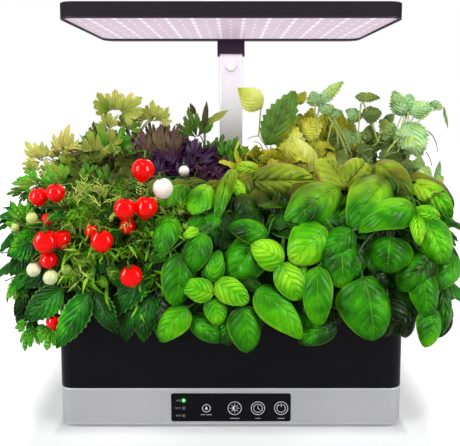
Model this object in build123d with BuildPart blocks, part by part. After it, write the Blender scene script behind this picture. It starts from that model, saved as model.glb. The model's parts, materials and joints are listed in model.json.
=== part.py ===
"""Countertop hydroponic garden: a silver electronics base, a black water tank with a lift-off grow deck,
eight pods with herbs and a dwarf tomato, and a grow lamp on a telescopic mast.

Units are millimetres. +Z is up, +X is to the right and -Y is the front with the control panel.
The origin is the centre of the footprint, on the surface that the rubber feet stand on.
"""

import os
from math import cos, radians, sin

from build123d import *

os.makedirs("parts", exist_ok=True)

# ---------------------------------------------------------------- driving dimensions
BODY_W = 400.0  # width of the base, the tank and the deck
BODY_D = 260.0
BODY_R = 15.0  # plan radius of the body's corners
WALL = 2.4
GAP = 0.3  # clearance between parts that slide or drop into each other

FOOT_H = 2.0  # how far the feet hold the housing off the table
FOOT_R, FOOT_SPACING_X, FOOT_SPACING_Y = 10.0, 290.0, 170.0
SEAM_Z = 49.0  # where the silver base meets the black tank
TANK_TOP_Z = 146.0
DECK_TOP_Z = 150.0

PANEL_W, PANEL_H, PANEL_Z = 138.8, 33.8, 26.0  # control panel and its centre height
PANEL_T = 1.6
PANEL_LEDGE = 1.4  # how much of the panel's edge the housing backs
KEY_R, KEY_FLANGE_R = 8.5, 9.2
KEY_Z = 25.1
KEY_TRAVEL = 1.2
BRIGHTNESS_X, TIMER_X, POWER_X = 4.3, 31.3, 58.3
MODE_LED_X, MODE_LED_Z = -55.0, (34.5, 25.1, 16.0)
LOW_WATER_X = -28.6

POD_X = (-145.0, -48.0, 48.0, 145.0)
POD_Y = (-65.0, 40.0)
POD_HOLE_R = 23.0
COLLAR_R = 27.0
COLLAR_H = 3.0
BASKET_DEPTH = 55.0

MAST_W, MAST_T, MAST_Y = 35.0, 16.0, 108.0  # inner tube's section and the mast's centre line
MAST_WALL = 1.5
MAST_TRAVEL = 130.0  # how far the lamp slides down; its button stops short of the sleeve's collar
MAST_FOOT_H = 9.0
SLEEVE_TOP_Z = 288.0
TUBE_TOP_Z = 471.0
BUTTON_Z, BUTTON_R = 434.4, 8.0

LAMP_W, LAMP_D, LAMP_R = 392.0, 237.0, 19.0
LAMP_FRONT_Y = -114.6
LAMP_BOTTOM_Z, LAMP_T = 473.6, 18.5
LAMP_RIM, LAMP_REAR_RIM = 3.0, 18.0  # the bezel's width at the front and sides, and over the mast
LED_PITCH, LED_COLUMNS, LED_ROWS = 30.0, 12, 7
LED_SIZE, SMALL_LED_SIZE = 3.5, 2.6  # large white diodes, and small red ones between them

# ---------------------------------------------------------------- worked out from them
FRONT_Y = -BODY_D / 2
REAR_Y = BODY_D / 2
INNER_W, INNER_D, INNER_R = BODY_W - 2 * WALL, BODY_D - 2 * WALL, BODY_R - WALL
BASE_ROOF_Z = SEAM_Z - WALL
TANK_FLOOR_Z = SEAM_Z + 3.0
COLLAR_TOP_Z = DECK_TOP_Z + COLLAR_H
LAMP_Y = LAMP_FRONT_Y + LAMP_D / 2
LAMP_REAR_Y = LAMP_FRONT_Y + LAMP_D
LAMP_TOP_Z = LAMP_BOTTOM_Z + LAMP_T
MAST_FRONT_Y, MAST_REAR_Y = MAST_Y - MAST_T / 2, MAST_Y + MAST_T / 2
TUBE_BOTTOM_Z = SEAM_Z + MAST_FOOT_H + 2.0 + MAST_TRAVEL
PODS = [(x, y) for y in POD_Y for x in POD_X]


def save(part, name):
    """Labels a finished piece and writes it as its node's STEP file."""
    part.label = name
    export_step(part, f"parts/{name}.step")


# ================================================================ silver base with its electronics
COVER_W, COVER_D, COVER_R = 380.0, 240.0, 9.0  # opening for the bottom cover
COVER_T = 2.5
LIP_TOP_Z = 9.5
BOSSES = [(x, y) for x in (-172.0, 0.0, 172.0) for y in (-100.0, 100.0)]
BOSS_R, PILOT_R, PILOT_DEPTH = 4.0, 1.35, 12.0
TANK_BOLTS = [(x, y) for x in (-150.0, 150.0) for y in (-105.0, 0.0)]
MAST_BOLTS = [(-11.0, MAST_Y), (3.0, MAST_Y)]
CABLE_X, CABLE_R, CABLE_HOLE_R = 12.8, 2.4, 2.8  # the lamp's cable, inside the mast
BOARD_Y, BOARD_T, BOARD_W, BOARD_H = -115.2, 1.6, 131.0, 26.0  # control board, standing behind the panel
POWER_BOARD_X, POWER_BOARD_Y, POWER_BOARD_W, POWER_BOARD_D = 57.0, 30.0, 92.0, 62.0
POWER_BOARD_DROP = 14.0  # how far it hangs below the roof
RIB_X = 65.0
SOCKET_X, SOCKET_Z, SOCKET_R, PLUG_R, PLUG_DEPTH = 140.0, 26.0, 5.4, 3.1, 9.5

with BuildPart() as base_housing:
    with BuildSketch(Plane.XY.offset(FOOT_H)):
        RectangleRounded(BODY_W, BODY_D, BODY_R)
    extrude(amount=SEAM_Z - FOOT_H)
    fillet(base_housing.edges().group_by(Axis.Z)[0], 7.0)
    fillet(base_housing.edges().group_by(Axis.Z)[-1], 0.8)
    with BuildSketch(Plane.XY.offset(LIP_TOP_Z)):
        RectangleRounded(INNER_W, INNER_D, INNER_R)
    extrude(amount=BASE_ROOF_Z - LIP_TOP_Z, mode=Mode.SUBTRACT)
    with BuildSketch(Plane.XY.offset(FOOT_H)):
        RectangleRounded(COVER_W, COVER_D, COVER_R)
    extrude(amount=LIP_TOP_Z - FOOT_H, mode=Mode.SUBTRACT)
    # recess and window for the control panel
    with BuildSketch(Plane.XZ.offset(BODY_D / 2)) as panel_recess:
        with Locations((0, PANEL_Z)):
            RectangleRounded(PANEL_W + 2 * GAP, PANEL_H + 2 * GAP, 2.6)
    extrude(amount=-PANEL_T, mode=Mode.SUBTRACT)
    with BuildSketch(Plane.XZ.offset(BODY_D / 2)):
        with Locations((0, PANEL_Z)):
            RectangleRounded(PANEL_W - 2 * PANEL_LEDGE, PANEL_H - 2 * PANEL_LEDGE, 1.5)
    extrude(amount=-WALL - 1, mode=Mode.SUBTRACT)
    # round hole for the power socket in the rear wall
    with Locations(Plane((SOCKET_X, REAR_Y, SOCKET_Z), z_dir=(0, 1, 0))):
        Hole(SOCKET_R + 0.1, depth=WALL + 2)
    # bosses for the bottom cover's screws
    with BuildSketch(Plane.XY.offset(FOOT_H + COVER_T)):
        with Locations(*BOSSES):
            Circle(BOSS_R)
    extrude(amount=BASE_ROOF_Z - FOOT_H - COVER_T)
    with BuildSketch(Plane.XY.offset(FOOT_H + COVER_T)):
        with Locations(*BOSSES):
            Circle(PILOT_R)
    extrude(amount=PILOT_DEPTH, mode=Mode.SUBTRACT)
    # holes in the roof for the tank's and the mast's bolts, and for the lamp's cable
    with BuildSketch(Plane.XY.offset(BASE_ROOF_Z)):
        with Locations(*TANK_BOLTS, *MAST_BOLTS):
            Circle(1.8)
        with Locations((CABLE_X, MAST_Y)):
            Circle(CABLE_HOLE_R)
    extrude(amount=WALL, mode=Mode.SUBTRACT)
    # slotted ribs that hold the ends of the control board
    with BuildSketch(Plane.XY.offset(BASE_ROOF_Z)):
        with Locations((-RIB_X, BOARD_Y), (RIB_X, BOARD_Y)):
            Rectangle(4.0, 8.0)
    extrude(amount=-(BASE_ROOF_Z - 26.0))
    with BuildSketch(Plane.XY.offset(BASE_ROOF_Z)):
        with Locations((-RIB_X + 1.5, BOARD_Y), (RIB_X - 1.5, BOARD_Y)):
            Rectangle(4.0, BOARD_T + 0.2)
    extrude(amount=-(BASE_ROOF_Z - 26.0), mode=Mode.SUBTRACT)
    # posts that the power board hangs from
    with BuildSketch(Plane.XY.offset(BASE_ROOF_Z)):
        with Locations((POWER_BOARD_X, POWER_BOARD_Y)):
            with GridLocations(80, 50, 2, 2):
                Circle(3.0)
    extrude(amount=-POWER_BOARD_DROP)
save(base_housing.part, "base_housing")

with BuildPart() as bottom_cover:
    with BuildSketch(Plane.XY.offset(FOOT_H)):
        RectangleRounded(COVER_W - 2 * GAP, COVER_D - 2 * GAP, COVER_R - GAP)
    extrude(amount=COVER_T)
    with BuildSketch(Plane.XY.offset(FOOT_H)):
        with GridLocations(FOOT_SPACING_X, FOOT_SPACING_Y, 2, 2):
            Circle(FOOT_R + 0.2)
    extrude(amount=1.0, mode=Mode.SUBTRACT)
    with BuildSketch(Plane.XY.offset(FOOT_H)):
        with Locations(*BOSSES):
            Circle(1.7)
        with GridLocations(9, 0, 14, 1):
            SlotOverall(40, 3, rotation=90)
    extrude(amount=COVER_T, mode=Mode.SUBTRACT)
    with BuildSketch(Plane.XY.offset(FOOT_H)):
        with Locations(*BOSSES):
            Circle(3.2)
    extrude(amount=1.2, mode=Mode.SUBTRACT)
save(bottom_cover.part, "bottom_cover")

with BuildPart() as rubber_feet:
    with BuildSketch():
        with GridLocations(FOOT_SPACING_X, FOOT_SPACING_Y, 2, 2):
            Circle(FOOT_R)
    extrude(amount=FOOT_H + 1.0)
    chamfer(rubber_feet.edges().group_by(Axis.Z)[0], 0.6)
save(rubber_feet.part, "rubber_feet")


def screw_group(spots, head_z, head_r, head_h, shaft_r, shaft_h, up=True):
    """Pan-head screws at the given (x, y) spots, heads at head_z and shafts going up or down, with a cross recess."""
    way = 1 if up else -1
    with BuildPart() as screws:
        with BuildSketch(Plane.XY.offset(head_z)):
            with Locations(*spots):
                Circle(head_r)
        extrude(amount=way * head_h)
        with BuildSketch(Plane.XY.offset(head_z)):
            with Locations(*spots):
                Rectangle(head_r * 1.2, head_r * 0.3)
                Rectangle(head_r * 0.3, head_r * 1.2)
        extrude(amount=way * head_h * 0.6, mode=Mode.SUBTRACT)
        with BuildSketch(Plane.XY.offset(head_z + way * head_h)):
            with Locations(*spots):
                Circle(shaft_r)
        extrude(amount=way * shaft_h)
    return screws.part


save(screw_group(BOSSES, FOOT_H + 0.2, 3.0, 1.0, 1.25, 10.0), "cover_screws")
save(screw_group([*TANK_BOLTS, *MAST_BOLTS], BASE_ROOF_Z - 2.0, 3.2, 2.0, 1.5, 8.2), "tank_bolts")

# ---- control panel, keys, lenses and the board behind them
PANEL_FRONT_Y = FRONT_Y - 0.2
PANEL_BACK_Y = FRONT_Y + PANEL_T
KEY_CENTRES = {"brightness_button": BRIGHTNESS_X, "timer_button": TIMER_X, "power_button": POWER_X}
SWITCH_FACE_Y = -119.4

with BuildPart() as control_panel:
    with BuildSketch(Plane.XZ.offset(-PANEL_FRONT_Y)):
        with Locations((0, PANEL_Z)):
            RectangleRounded(PANEL_W, PANEL_H, 2.4)
        with Locations(*[(x, KEY_Z) for x in KEY_CENTRES.values()]):
            Circle(KEY_R + 0.25, mode=Mode.SUBTRACT)
        with Locations(*[(MODE_LED_X, z) for z in MODE_LED_Z]):
            Circle(2.1, mode=Mode.SUBTRACT)
        with Locations((LOW_WATER_X, KEY_Z)):
            Circle(3.1, mode=Mode.SUBTRACT)
    extrude(amount=-(PANEL_BACK_Y - PANEL_FRONT_Y))
    fillet(control_panel.edges().group_by(Axis.Y)[0].filter_by(GeomType.LINE), 0.4)
save(control_panel.part, "control_panel")

for key_name, key_x in KEY_CENTRES.items():
    with BuildPart() as key:
        # cap in the panel's hole, a flange behind it, and a stem that stops short of its switch
        with BuildSketch(Plane.XZ.offset(-PANEL_FRONT_Y)):
            with Locations((key_x, KEY_Z)):
                Circle(KEY_R)
        extrude(amount=-(PANEL_BACK_Y + 0.2 - PANEL_FRONT_Y))
        with BuildSketch(Plane.XZ.offset(-(PANEL_BACK_Y + 0.2))):
            with Locations((key_x, KEY_Z)):
                Circle(KEY_FLANGE_R)
        extrude(amount=-1.0)
        with BuildSketch(Plane.XZ.offset(-(PANEL_BACK_Y + 1.2))):
            with Locations((key_x, KEY_Z)):
                Circle(2.0)
        extrude(amount=-(SWITCH_FACE_Y - KEY_TRAVEL - 0.3 - PANEL_BACK_Y - 1.2))
        fillet(key.edges().group_by(Axis.Y)[0], 0.3)
    save(key.part, key_name)

with BuildPart() as indicator_lenses:
    with BuildSketch(Plane.XZ.offset(-PANEL_FRONT_Y)):
        with Locations(*[(MODE_LED_X, z) for z in MODE_LED_Z]):
            Circle(2.0)
    extrude(amount=-(PANEL_BACK_Y - PANEL_FRONT_Y))
    with BuildSketch(Plane.XZ.offset(-PANEL_BACK_Y)):
        with Locations(*[(MODE_LED_X, z) for z in MODE_LED_Z]):
            Circle(2.6)
    extrude(amount=-1.0)
save(indicator_lenses.part, "indicator_lenses")

with BuildPart() as low_water_lens:
    with BuildSketch(Plane.XZ.offset(-PANEL_FRONT_Y)):
        with Locations((LOW_WATER_X, KEY_Z)):
            Circle(3.0)
    extrude(amount=-(PANEL_BACK_Y - PANEL_FRONT_Y))
    with BuildSketch(Plane.XZ.offset(-PANEL_BACK_Y)):
        with Locations((LOW_WATER_X, KEY_Z)):
            Circle(3.8)
    extrude(amount=-1.0)
save(low_water_lens.part, "low_water_lens")

with BuildPart() as control_board:
    with BuildSketch(Plane.XZ.offset(-(BOARD_Y - BOARD_T / 2))):
        with Locations((0, PANEL_Z + 4)):
            Rectangle(BOARD_W - 0.6, BOARD_H)
    extrude(amount=-BOARD_T)
    # processor and connector on the rear side
    with BuildSketch(Plane.XZ.offset(-(BOARD_Y + BOARD_T / 2))):
        with Locations((-20, PANEL_Z + 6)):
            Rectangle(12, 12)
        with Locations((20, PANEL_Z + 10)):
            Rectangle(16, 7)
    extrude(amount=-3.0)
save(control_board.part, "control_board")

with BuildPart() as tact_switches:
    with BuildSketch(Plane.XZ.offset(-(BOARD_Y - BOARD_T / 2))):
        with Locations(*[(x, KEY_Z) for x in KEY_CENTRES.values()]):
            Rectangle(6.0, 6.0)
    extrude(amount=BOARD_Y - BOARD_T / 2 - SWITCH_FACE_Y - 0.8)
    with BuildSketch(Plane.XZ.offset(-(SWITCH_FACE_Y + 0.8))):
        with Locations(*[(x, KEY_Z) for x in KEY_CENTRES.values()]):
            Circle(1.7)
    extrude(amount=0.8)
save(tact_switches.part, "tact_switches")

with BuildPart() as power_board:
    BOARD_TOP_Z = BASE_ROOF_Z - POWER_BOARD_DROP
    with BuildSketch(Plane.XY.offset(BOARD_TOP_Z)):
        with Locations((POWER_BOARD_X, POWER_BOARD_Y)):
            Rectangle(POWER_BOARD_W, POWER_BOARD_D)
    extrude(amount=-BOARD_T)
    # transformer, two capacitors and the socket for the lamp's cable
    with BuildSketch(Plane.XY.offset(BOARD_TOP_Z - BOARD_T)):
        with Locations((42, 34)):
            Rectangle(22, 18)
        with Locations((76, 20), (90, 20)):
            Circle(5)
        with Locations((POWER_BOARD_X - POWER_BOARD_W / 2 + 4.5, POWER_BOARD_Y + POWER_BOARD_D / 2 - 4)):
            Rectangle(9, 8)
    extrude(amount=-12.0)
    # heat sink
    with BuildSketch(Plane.XY.offset(BOARD_TOP_Z - BOARD_T)):
        with Locations((74, 46)):
            Rectangle(30, 10)
    extrude(amount=-6.0)
save(power_board.part, "power_board")

SOCKET_PLANE = Plane((SOCKET_X, REAR_Y + 1.0, SOCKET_Z), x_dir=(1, 0, 0), z_dir=(0, -1, 0))
with BuildPart() as power_socket:
    # flange outside the wall, barrel through it, square body inside, blind round hole for the plug
    with BuildSketch(SOCKET_PLANE):
        Circle(SOCKET_R + 1.8)
    extrude(amount=1.0)
    with BuildSketch(SOCKET_PLANE.offset(1.0)):
        Circle(SOCKET_R)
    extrude(amount=WALL)
    with BuildSketch(SOCKET_PLANE.offset(1.0 + WALL)):
        Rectangle(14, 12)
    extrude(amount=9.0)
    with BuildSketch(SOCKET_PLANE):
        Circle(PLUG_R)
    extrude(amount=PLUG_DEPTH, mode=Mode.SUBTRACT)
save(power_socket.part, "power_socket")

# ================================================================ black water tank
TANK_WALL = 2.6
WELL_W, WELL_FRONT_Y = 48.0, 94.0  # the dry well that the mast stands in
SLEEVE_WALL = 2.0
SLEEVE_W, SLEEVE_T = MAST_W + 2 * GAP + 2 * SLEEVE_WALL, MAST_T + 2 * GAP + 2 * SLEEVE_WALL

with BuildPart() as water_tank:
    with BuildSketch(Plane.XY.offset(SEAM_Z)):
        RectangleRounded(BODY_W, BODY_D, BODY_R)
    extrude(amount=TANK_TOP_Z - SEAM_Z)
    fillet(water_tank.edges().group_by(Axis.Z)[0], 0.8)
    with BuildSketch(Plane.XY.offset(TANK_FLOOR_Z)):
        RectangleRounded(BODY_W - 2 * TANK_WALL, BODY_D - 2 * TANK_WALL, BODY_R - TANK_WALL)
    extrude(amount=TANK_TOP_Z - TANK_FLOOR_Z, mode=Mode.SUBTRACT)
    # mast well, joined to the rear wall, open at the top and through the floor
    with BuildSketch(Plane.XY.offset(SEAM_Z)):
        with Locations((0, (WELL_FRONT_Y + REAR_Y - 1) / 2)):
            Rectangle(WELL_W, REAR_Y - 1 - WELL_FRONT_Y)
    extrude(amount=TANK_TOP_Z - SEAM_Z)
    with BuildSketch(Plane.XY.offset(SEAM_Z)):
        with Locations((0, MAST_Y)):
            Rectangle(SLEEVE_W + 1.0, SLEEVE_T + 1.0)
    extrude(amount=TANK_TOP_Z - SEAM_Z, mode=Mode.SUBTRACT)
    # blind bosses on the floor that the tank bolts screw into from below
    with BuildSketch(Plane.XY.offset(TANK_FLOOR_Z)):
        with Locations(*TANK_BOLTS):
            Circle(5.0)
    extrude(amount=9.0)
    with BuildSketch(Plane.XY.offset(SEAM_Z)):
        with Locations(*TANK_BOLTS):
            Circle(1.6)
    extrude(amount=8.0, mode=Mode.SUBTRACT)
save(water_tank.part, "water_tank")

# ---- circulation pump in the rear right corner of the tank
PUMP_X, PUMP_Z = 166.0, 71.0  # axis of the impeller, along Y
PUMP_FRONT_Y, PUMP_DEPTH = 80.0, 32.0
PUMP_W, PUMP_H = 42.0, 32.0
CHAMBER_R, CHAMBER_DEPTH = 12.0, 12.0
PUMP_BOTTOM_Z = PUMP_Z - PUMP_H / 2
NOZZLE_Y = PUMP_FRONT_Y + 7.0

with BuildPart() as pump_housing:
    with BuildSketch(Plane.XZ.offset(-PUMP_FRONT_Y)):
        with Locations((PUMP_X, PUMP_Z)):
            RectangleRounded(PUMP_W, PUMP_H, 4.0)
    extrude(amount=-PUMP_DEPTH)
    with BuildSketch(Plane.XZ.offset(-PUMP_FRONT_Y)):
        with Locations((PUMP_X, PUMP_Z)):
            Circle(CHAMBER_R)
    extrude(amount=-CHAMBER_DEPTH, mode=Mode.SUBTRACT)
    # outlet nozzle on top, open down to the chamber
    with BuildSketch(Plane.XY.offset(PUMP_Z + PUMP_H / 2 - 1)):
        with Locations((PUMP_X, NOZZLE_Y)):
            Circle(5.0)
    extrude(amount=11.0)
    with BuildSketch(Plane.XY.offset(PUMP_Z)):
        with Locations((PUMP_X, NOZZLE_Y)):
            Circle(3.5)
    extrude(amount=PUMP_H / 2 + 10.0, mode=Mode.SUBTRACT)
    # blind seat for the shaft
    with BuildSketch(Plane.XZ.offset(-(PUMP_FRONT_Y + CHAMBER_DEPTH))):
        with Locations((PUMP_X, PUMP_Z)):
            Circle(1.0)
    extrude(amount=-5.0, mode=Mode.SUBTRACT)
save(pump_housing.part, "pump_housing")

with BuildPart() as pump_feet:
    with BuildSketch(Plane.XY.offset(TANK_FLOOR_Z)):
        with Locations((PUMP_X, PUMP_FRONT_Y + PUMP_DEPTH / 2)):
            with GridLocations(28, 18, 2, 2):
                Circle(5.0)
    extrude(amount=PUMP_BOTTOM_Z - TANK_FLOOR_Z, taper=12)
save(pump_feet.part, "pump_feet")

with BuildPart() as pump_shaft:
    with BuildSketch(Plane.XZ.offset(-(PUMP_FRONT_Y + 1.0))):
        with Locations((PUMP_X, PUMP_Z)):
            Circle(1.0)
    extrude(amount=-(CHAMBER_DEPTH - 1.0 + 5.0))
save(pump_shaft.part, "pump_shaft")

with BuildPart() as pump_impeller:
    with BuildSketch(Plane.XZ.offset(-(PUMP_FRONT_Y + 3.0))):
        with Locations((PUMP_X, PUMP_Z)):
            Circle(4.0)
    extrude(amount=-8.0)
    with BuildSketch(Plane.XZ.offset(-(PUMP_FRONT_Y + 3.0))):
        with Locations((PUMP_X, PUMP_Z)):
            with PolarLocations(6.6, 6):
                Rectangle(6.4, 1.2)
    extrude(amount=-6.0)
    with BuildSketch(Plane.XZ.offset(-(PUMP_FRONT_Y + 9.0))):
        with Locations((PUMP_X, PUMP_Z)):
            Circle(9.8)
    extrude(amount=-1.6)
    with BuildSketch(Plane.XZ.offset(-PUMP_FRONT_Y)):
        with Locations((PUMP_X, PUMP_Z)):
            Circle(1.06)
    extrude(amount=-CHAMBER_DEPTH, mode=Mode.SUBTRACT)
save(pump_impeller.part, "pump_impeller")

with BuildPart() as pump_grille:
    # intake cover on the front of the pump, slotted so that roots stay out
    with BuildSketch(Plane.XZ.offset(-PUMP_FRONT_Y)):
        with Locations((PUMP_X, PUMP_Z)):
            RectangleRounded(PUMP_W - 2, PUMP_H - 2, 4.0)
            with GridLocations(5.0, 0, 5, 1):
                SlotOverall(18, 2.2, rotation=90, mode=Mode.SUBTRACT)
    extrude(amount=2.5)
save(pump_grille.part, "pump_grille")

RISER_TOP_Z = 136.0
with BuildPart() as water_riser:
    with BuildSketch(Plane.XY.offset(PUMP_Z + PUMP_H / 2 + 2.0)):
        with Locations((PUMP_X, NOZZLE_Y)):
            Circle(6.4)
            Circle(5.1, mode=Mode.SUBTRACT)
    extrude(amount=RISER_TOP_Z - PUMP_Z - PUMP_H / 2 - 2.0)
save(water_riser.part, "water_riser")

# ================================================================ grow deck, which lifts off with the pods
SKIRT_DEPTH, SKIRT_T = 8.0, 2.0
NOTCH_W, NOTCH_FRONT_Y = 46.0, 95.0
PORT_X, PORT_Y, PORT_W, PORT_D = 112.0, 102.0, 46.0, 24.0  # filler port
HINGE_Y, HINGE_Z, PIN_R = 118.6, DECK_TOP_Z + 3.4, 1.0
FLOAT_X, FLOAT_Y = -166.0, 100.0

with BuildPart() as grow_deck:
    with BuildSketch(Plane.XY.offset(TANK_TOP_Z)):
        RectangleRounded(BODY_W, BODY_D, BODY_R)
    extrude(amount=DECK_TOP_Z - TANK_TOP_Z)
    fillet(grow_deck.edges().group_by(Axis.Z)[-1], 2.0)
    # skirt that drops inside the tank's rim
    skirt_w, skirt_d = BODY_W - 2 * TANK_WALL - 2 * GAP, BODY_D - 2 * TANK_WALL - 2 * GAP
    skirt_r = BODY_R - TANK_WALL - GAP
    with BuildSketch(Plane.XY.offset(TANK_TOP_Z - SKIRT_DEPTH)):
        RectangleRounded(skirt_w, skirt_d, skirt_r)
        RectangleRounded(skirt_w - 2 * SKIRT_T, skirt_d - 2 * SKIRT_T, skirt_r - SKIRT_T, mode=Mode.SUBTRACT)
        with Locations((0, REAR_Y)):
            Rectangle(WELL_W + 2, 30, mode=Mode.SUBTRACT)
    extrude(amount=SKIRT_DEPTH)
    # raised collars round the pod holes
    with BuildSketch(Plane.XY.offset(DECK_TOP_Z)):
        with Locations(*PODS):
            Circle(COLLAR_R)
    extrude(amount=COLLAR_H)
    with BuildSketch(Plane.XY.offset(TANK_TOP_Z)):
        with Locations(*PODS):
            Circle(POD_HOLE_R)
        with Locations((PORT_X, PORT_Y)):
            RectangleRounded(PORT_W, PORT_D, 3.0)
        with Locations((FLOAT_X, FLOAT_Y)):
            Circle(3.2)
        # notch for the mast, open at the rear so that the deck clears it
        with Locations((0, (NOTCH_FRONT_Y + REAR_Y + 5) / 2)):
            Rectangle(NOTCH_W, REAR_Y + 5 - NOTCH_FRONT_Y)
    extrude(amount=DECK_TOP_Z - TANK_TOP_Z + COLLAR_H, mode=Mode.SUBTRACT)
    # hinge ears for the filler lid
    for ear_x in (PORT_X - 17.0, PORT_X + 17.0):
        with BuildSketch(Plane.YZ.offset(ear_x - 2.0)):
            with Locations((HINGE_Y, HINGE_Z)):
                Circle(2.4)
            with Locations((HINGE_Y, (HINGE_Z + DECK_TOP_Z) / 2 - 0.2)):
                Rectangle(4.8, HINGE_Z - DECK_TOP_Z + 0.4)
            with Locations((HINGE_Y, HINGE_Z)):
                Circle(PIN_R + 0.02, mode=Mode.SUBTRACT)
        extrude(amount=4.0)
save(grow_deck.part, "grow_deck")

with BuildPart() as filler_pin:
    with BuildSketch(Plane.YZ.offset(PORT_X - 19.4)):
        with Locations((HINGE_Y, HINGE_Z)):
            Circle(PIN_R)
    extrude(amount=38.8)
save(filler_pin.part, "filler_pin")

with BuildPart() as filler_lid:
    with BuildSketch(Plane.XY.offset(DECK_TOP_Z + 0.2)):
        with Locations((PORT_X, PORT_Y - 1.0)):
            RectangleRounded(PORT_W + 6.0, PORT_D + 4.0, 4.0)
    extrude(amount=2.4)
    fillet(filler_lid.edges().group_by(Axis.Z)[-1], 0.8)
    # finger tab at the front, and the plug that drops into the port
    with BuildSketch(Plane.XY.offset(DECK_TOP_Z + 0.2)):
        with Locations((PORT_X, PORT_Y - PORT_D / 2 - 4.0)):
            RectangleRounded(14.0, 8.0, 2.0)
    extrude(amount=1.6)
    with BuildSketch(Plane.XY.offset(DECK_TOP_Z + 0.2)):
        with Locations((PORT_X, PORT_Y - 2.5)):
            RectangleRounded(PORT_W - 3.0, PORT_D - 8.0, 3.0)
    extrude(amount=-2.6)
    # knuckle round the pin
    with BuildSketch(Plane.YZ.offset(PORT_X - 14.6)):
        with Locations((HINGE_Y, HINGE_Z)):
            Circle(2.4)
        with Locations((HINGE_Y - 2.6, DECK_TOP_Z + 1.6)):
            Rectangle(3.6, 2.0)
        with Locations((HINGE_Y, HINGE_Z)):
            Circle(PIN_R + 0.06, mode=Mode.SUBTRACT)
    extrude(amount=29.2)
save(filler_lid.part, "filler_lid")

# ---- float that shows the water level through the deck
GUIDE_R, GUIDE_BOTTOM_Z = 11.0, 98.0
with BuildPart() as float_guide:
    with BuildSketch(Plane.XY.offset(GUIDE_BOTTOM_Z)):
        with Locations((FLOAT_X, FLOAT_Y)):
            Circle(GUIDE_R)
            Circle(GUIDE_R - 1.5, mode=Mode.SUBTRACT)
    extrude(amount=TANK_TOP_Z - GUIDE_BOTTOM_Z)
    with BuildSketch(Plane.XY.offset(GUIDE_BOTTOM_Z)):
        with Locations((FLOAT_X, FLOAT_Y)):
            Circle(GUIDE_R - 1.0)
            Circle(5.0, mode=Mode.SUBTRACT)
    extrude(amount=1.6)
    # windows that let the water in
    with BuildSketch(Plane.XZ.offset(-(FLOAT_Y - 15))):
        with Locations((FLOAT_X, 120)):
            SlotOverall(26, 5, rotation=90)
    extrude(amount=-30, mode=Mode.SUBTRACT)
save(float_guide.part, "float_guide")

with BuildPart() as water_float:
    with BuildSketch(Plane.XY.offset(GUIDE_BOTTOM_Z + 1.8)):
        with Locations((FLOAT_X, FLOAT_Y)):
            Circle(8.6)
    extrude(amount=14.0)
    fillet(water_float.edges(), 1.5)
    with BuildSketch(Plane.XY.offset(GUIDE_BOTTOM_Z + 10.0)):
        with Locations((FLOAT_X, FLOAT_Y)):
            Circle(2.6)
    extrude(amount=DECK_TOP_Z + 6.0 - GUIDE_BOTTOM_Z - 10.0)
save(water_float.part, "water_float")

# ---- pods: a slotted basket and a sponge in each hole
BASKET_TOP_R, BASKET_BOTTOM_R, BASKET_T = 21.8, 17.0, 1.4
BASKET_BOTTOM_Z = COLLAR_TOP_Z - BASKET_DEPTH
FLANGE_R, FLANGE_T = 25.5, 2.0
for number, (pod_x, pod_y) in enumerate(PODS, start=1):
    with BuildPart() as basket:
        with BuildSketch(Plane((pod_x, pod_y, 0), x_dir=(1, 0, 0), z_dir=(0, -1, 0))):
            with BuildLine():
                Polyline(
                    (4.0, BASKET_BOTTOM_Z),
                    (BASKET_BOTTOM_R, BASKET_BOTTOM_Z),
                    (BASKET_TOP_R, COLLAR_TOP_Z),
                    (FLANGE_R, COLLAR_TOP_Z),
                    (FLANGE_R, COLLAR_TOP_Z + FLANGE_T),
                    (BASKET_TOP_R - BASKET_T, COLLAR_TOP_Z + FLANGE_T),
                    (BASKET_BOTTOM_R - BASKET_T, BASKET_BOTTOM_Z + BASKET_T),
                    (4.0, BASKET_BOTTOM_Z + BASKET_T),
                    close=True,
                )
            make_face()
        revolve(axis=Axis((pod_x, pod_y, 0), (0, 0, 1)))
        # three slots straight through make six root windows
        for turn in (0, 60, 120):
            across = (sin(radians(turn)), -cos(radians(turn)), 0)
            along = (cos(radians(turn)), sin(radians(turn)), 0)
            with BuildSketch(Plane((pod_x, pod_y, 0), x_dir=along, z_dir=across)):
                with Locations((0, BASKET_BOTTOM_Z + 24)):
                    SlotOverall(32, 4.5, rotation=90)
            extrude(amount=40, both=True, mode=Mode.SUBTRACT)
    save(basket.part, f"basket_{number}")

with BuildPart() as grow_sponges:
    with BuildSketch(Plane.XY.offset(BASKET_BOTTOM_Z + BASKET_T + 0.4)):
        with Locations(*PODS):
            Circle(BASKET_BOTTOM_R - BASKET_T - 0.6)
    extrude(amount=49.0, taper=-4.2)
save(grow_sponges.part, "grow_sponges")
SPONGE_TOP_Z = BASKET_BOTTOM_Z + BASKET_T + 0.4 + 49.0

# ================================================================ telescopic mast
with BuildPart() as mast_sleeve:
    with BuildSketch(Plane.XY.offset(SEAM_Z)):
        with Locations((0, MAST_Y)):
            RectangleRounded(SLEEVE_W, SLEEVE_T, 3.5)
            RectangleRounded(MAST_W + 2 * GAP, MAST_T + 2 * GAP, 2.2, mode=Mode.SUBTRACT)
    extrude(amount=SLEEVE_TOP_Z - SEAM_Z)
save(mast_sleeve.part, "mast_sleeve")

with BuildPart() as mast_foot:
    # plug in the sleeve's lower end, which the mast bolts pull down onto the base
    with BuildSketch(Plane.XY.offset(SEAM_Z)):
        with Locations((0, MAST_Y)):
            RectangleRounded(MAST_W + 0.4, MAST_T + 0.4, 2.0)
        with Locations(*MAST_BOLTS):
            Circle(1.6, mode=Mode.SUBTRACT)
        with Locations((CABLE_X, MAST_Y)):
            Circle(CABLE_HOLE_R, mode=Mode.SUBTRACT)
    extrude(amount=MAST_FOOT_H)
save(mast_foot.part, "mast_foot")

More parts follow.
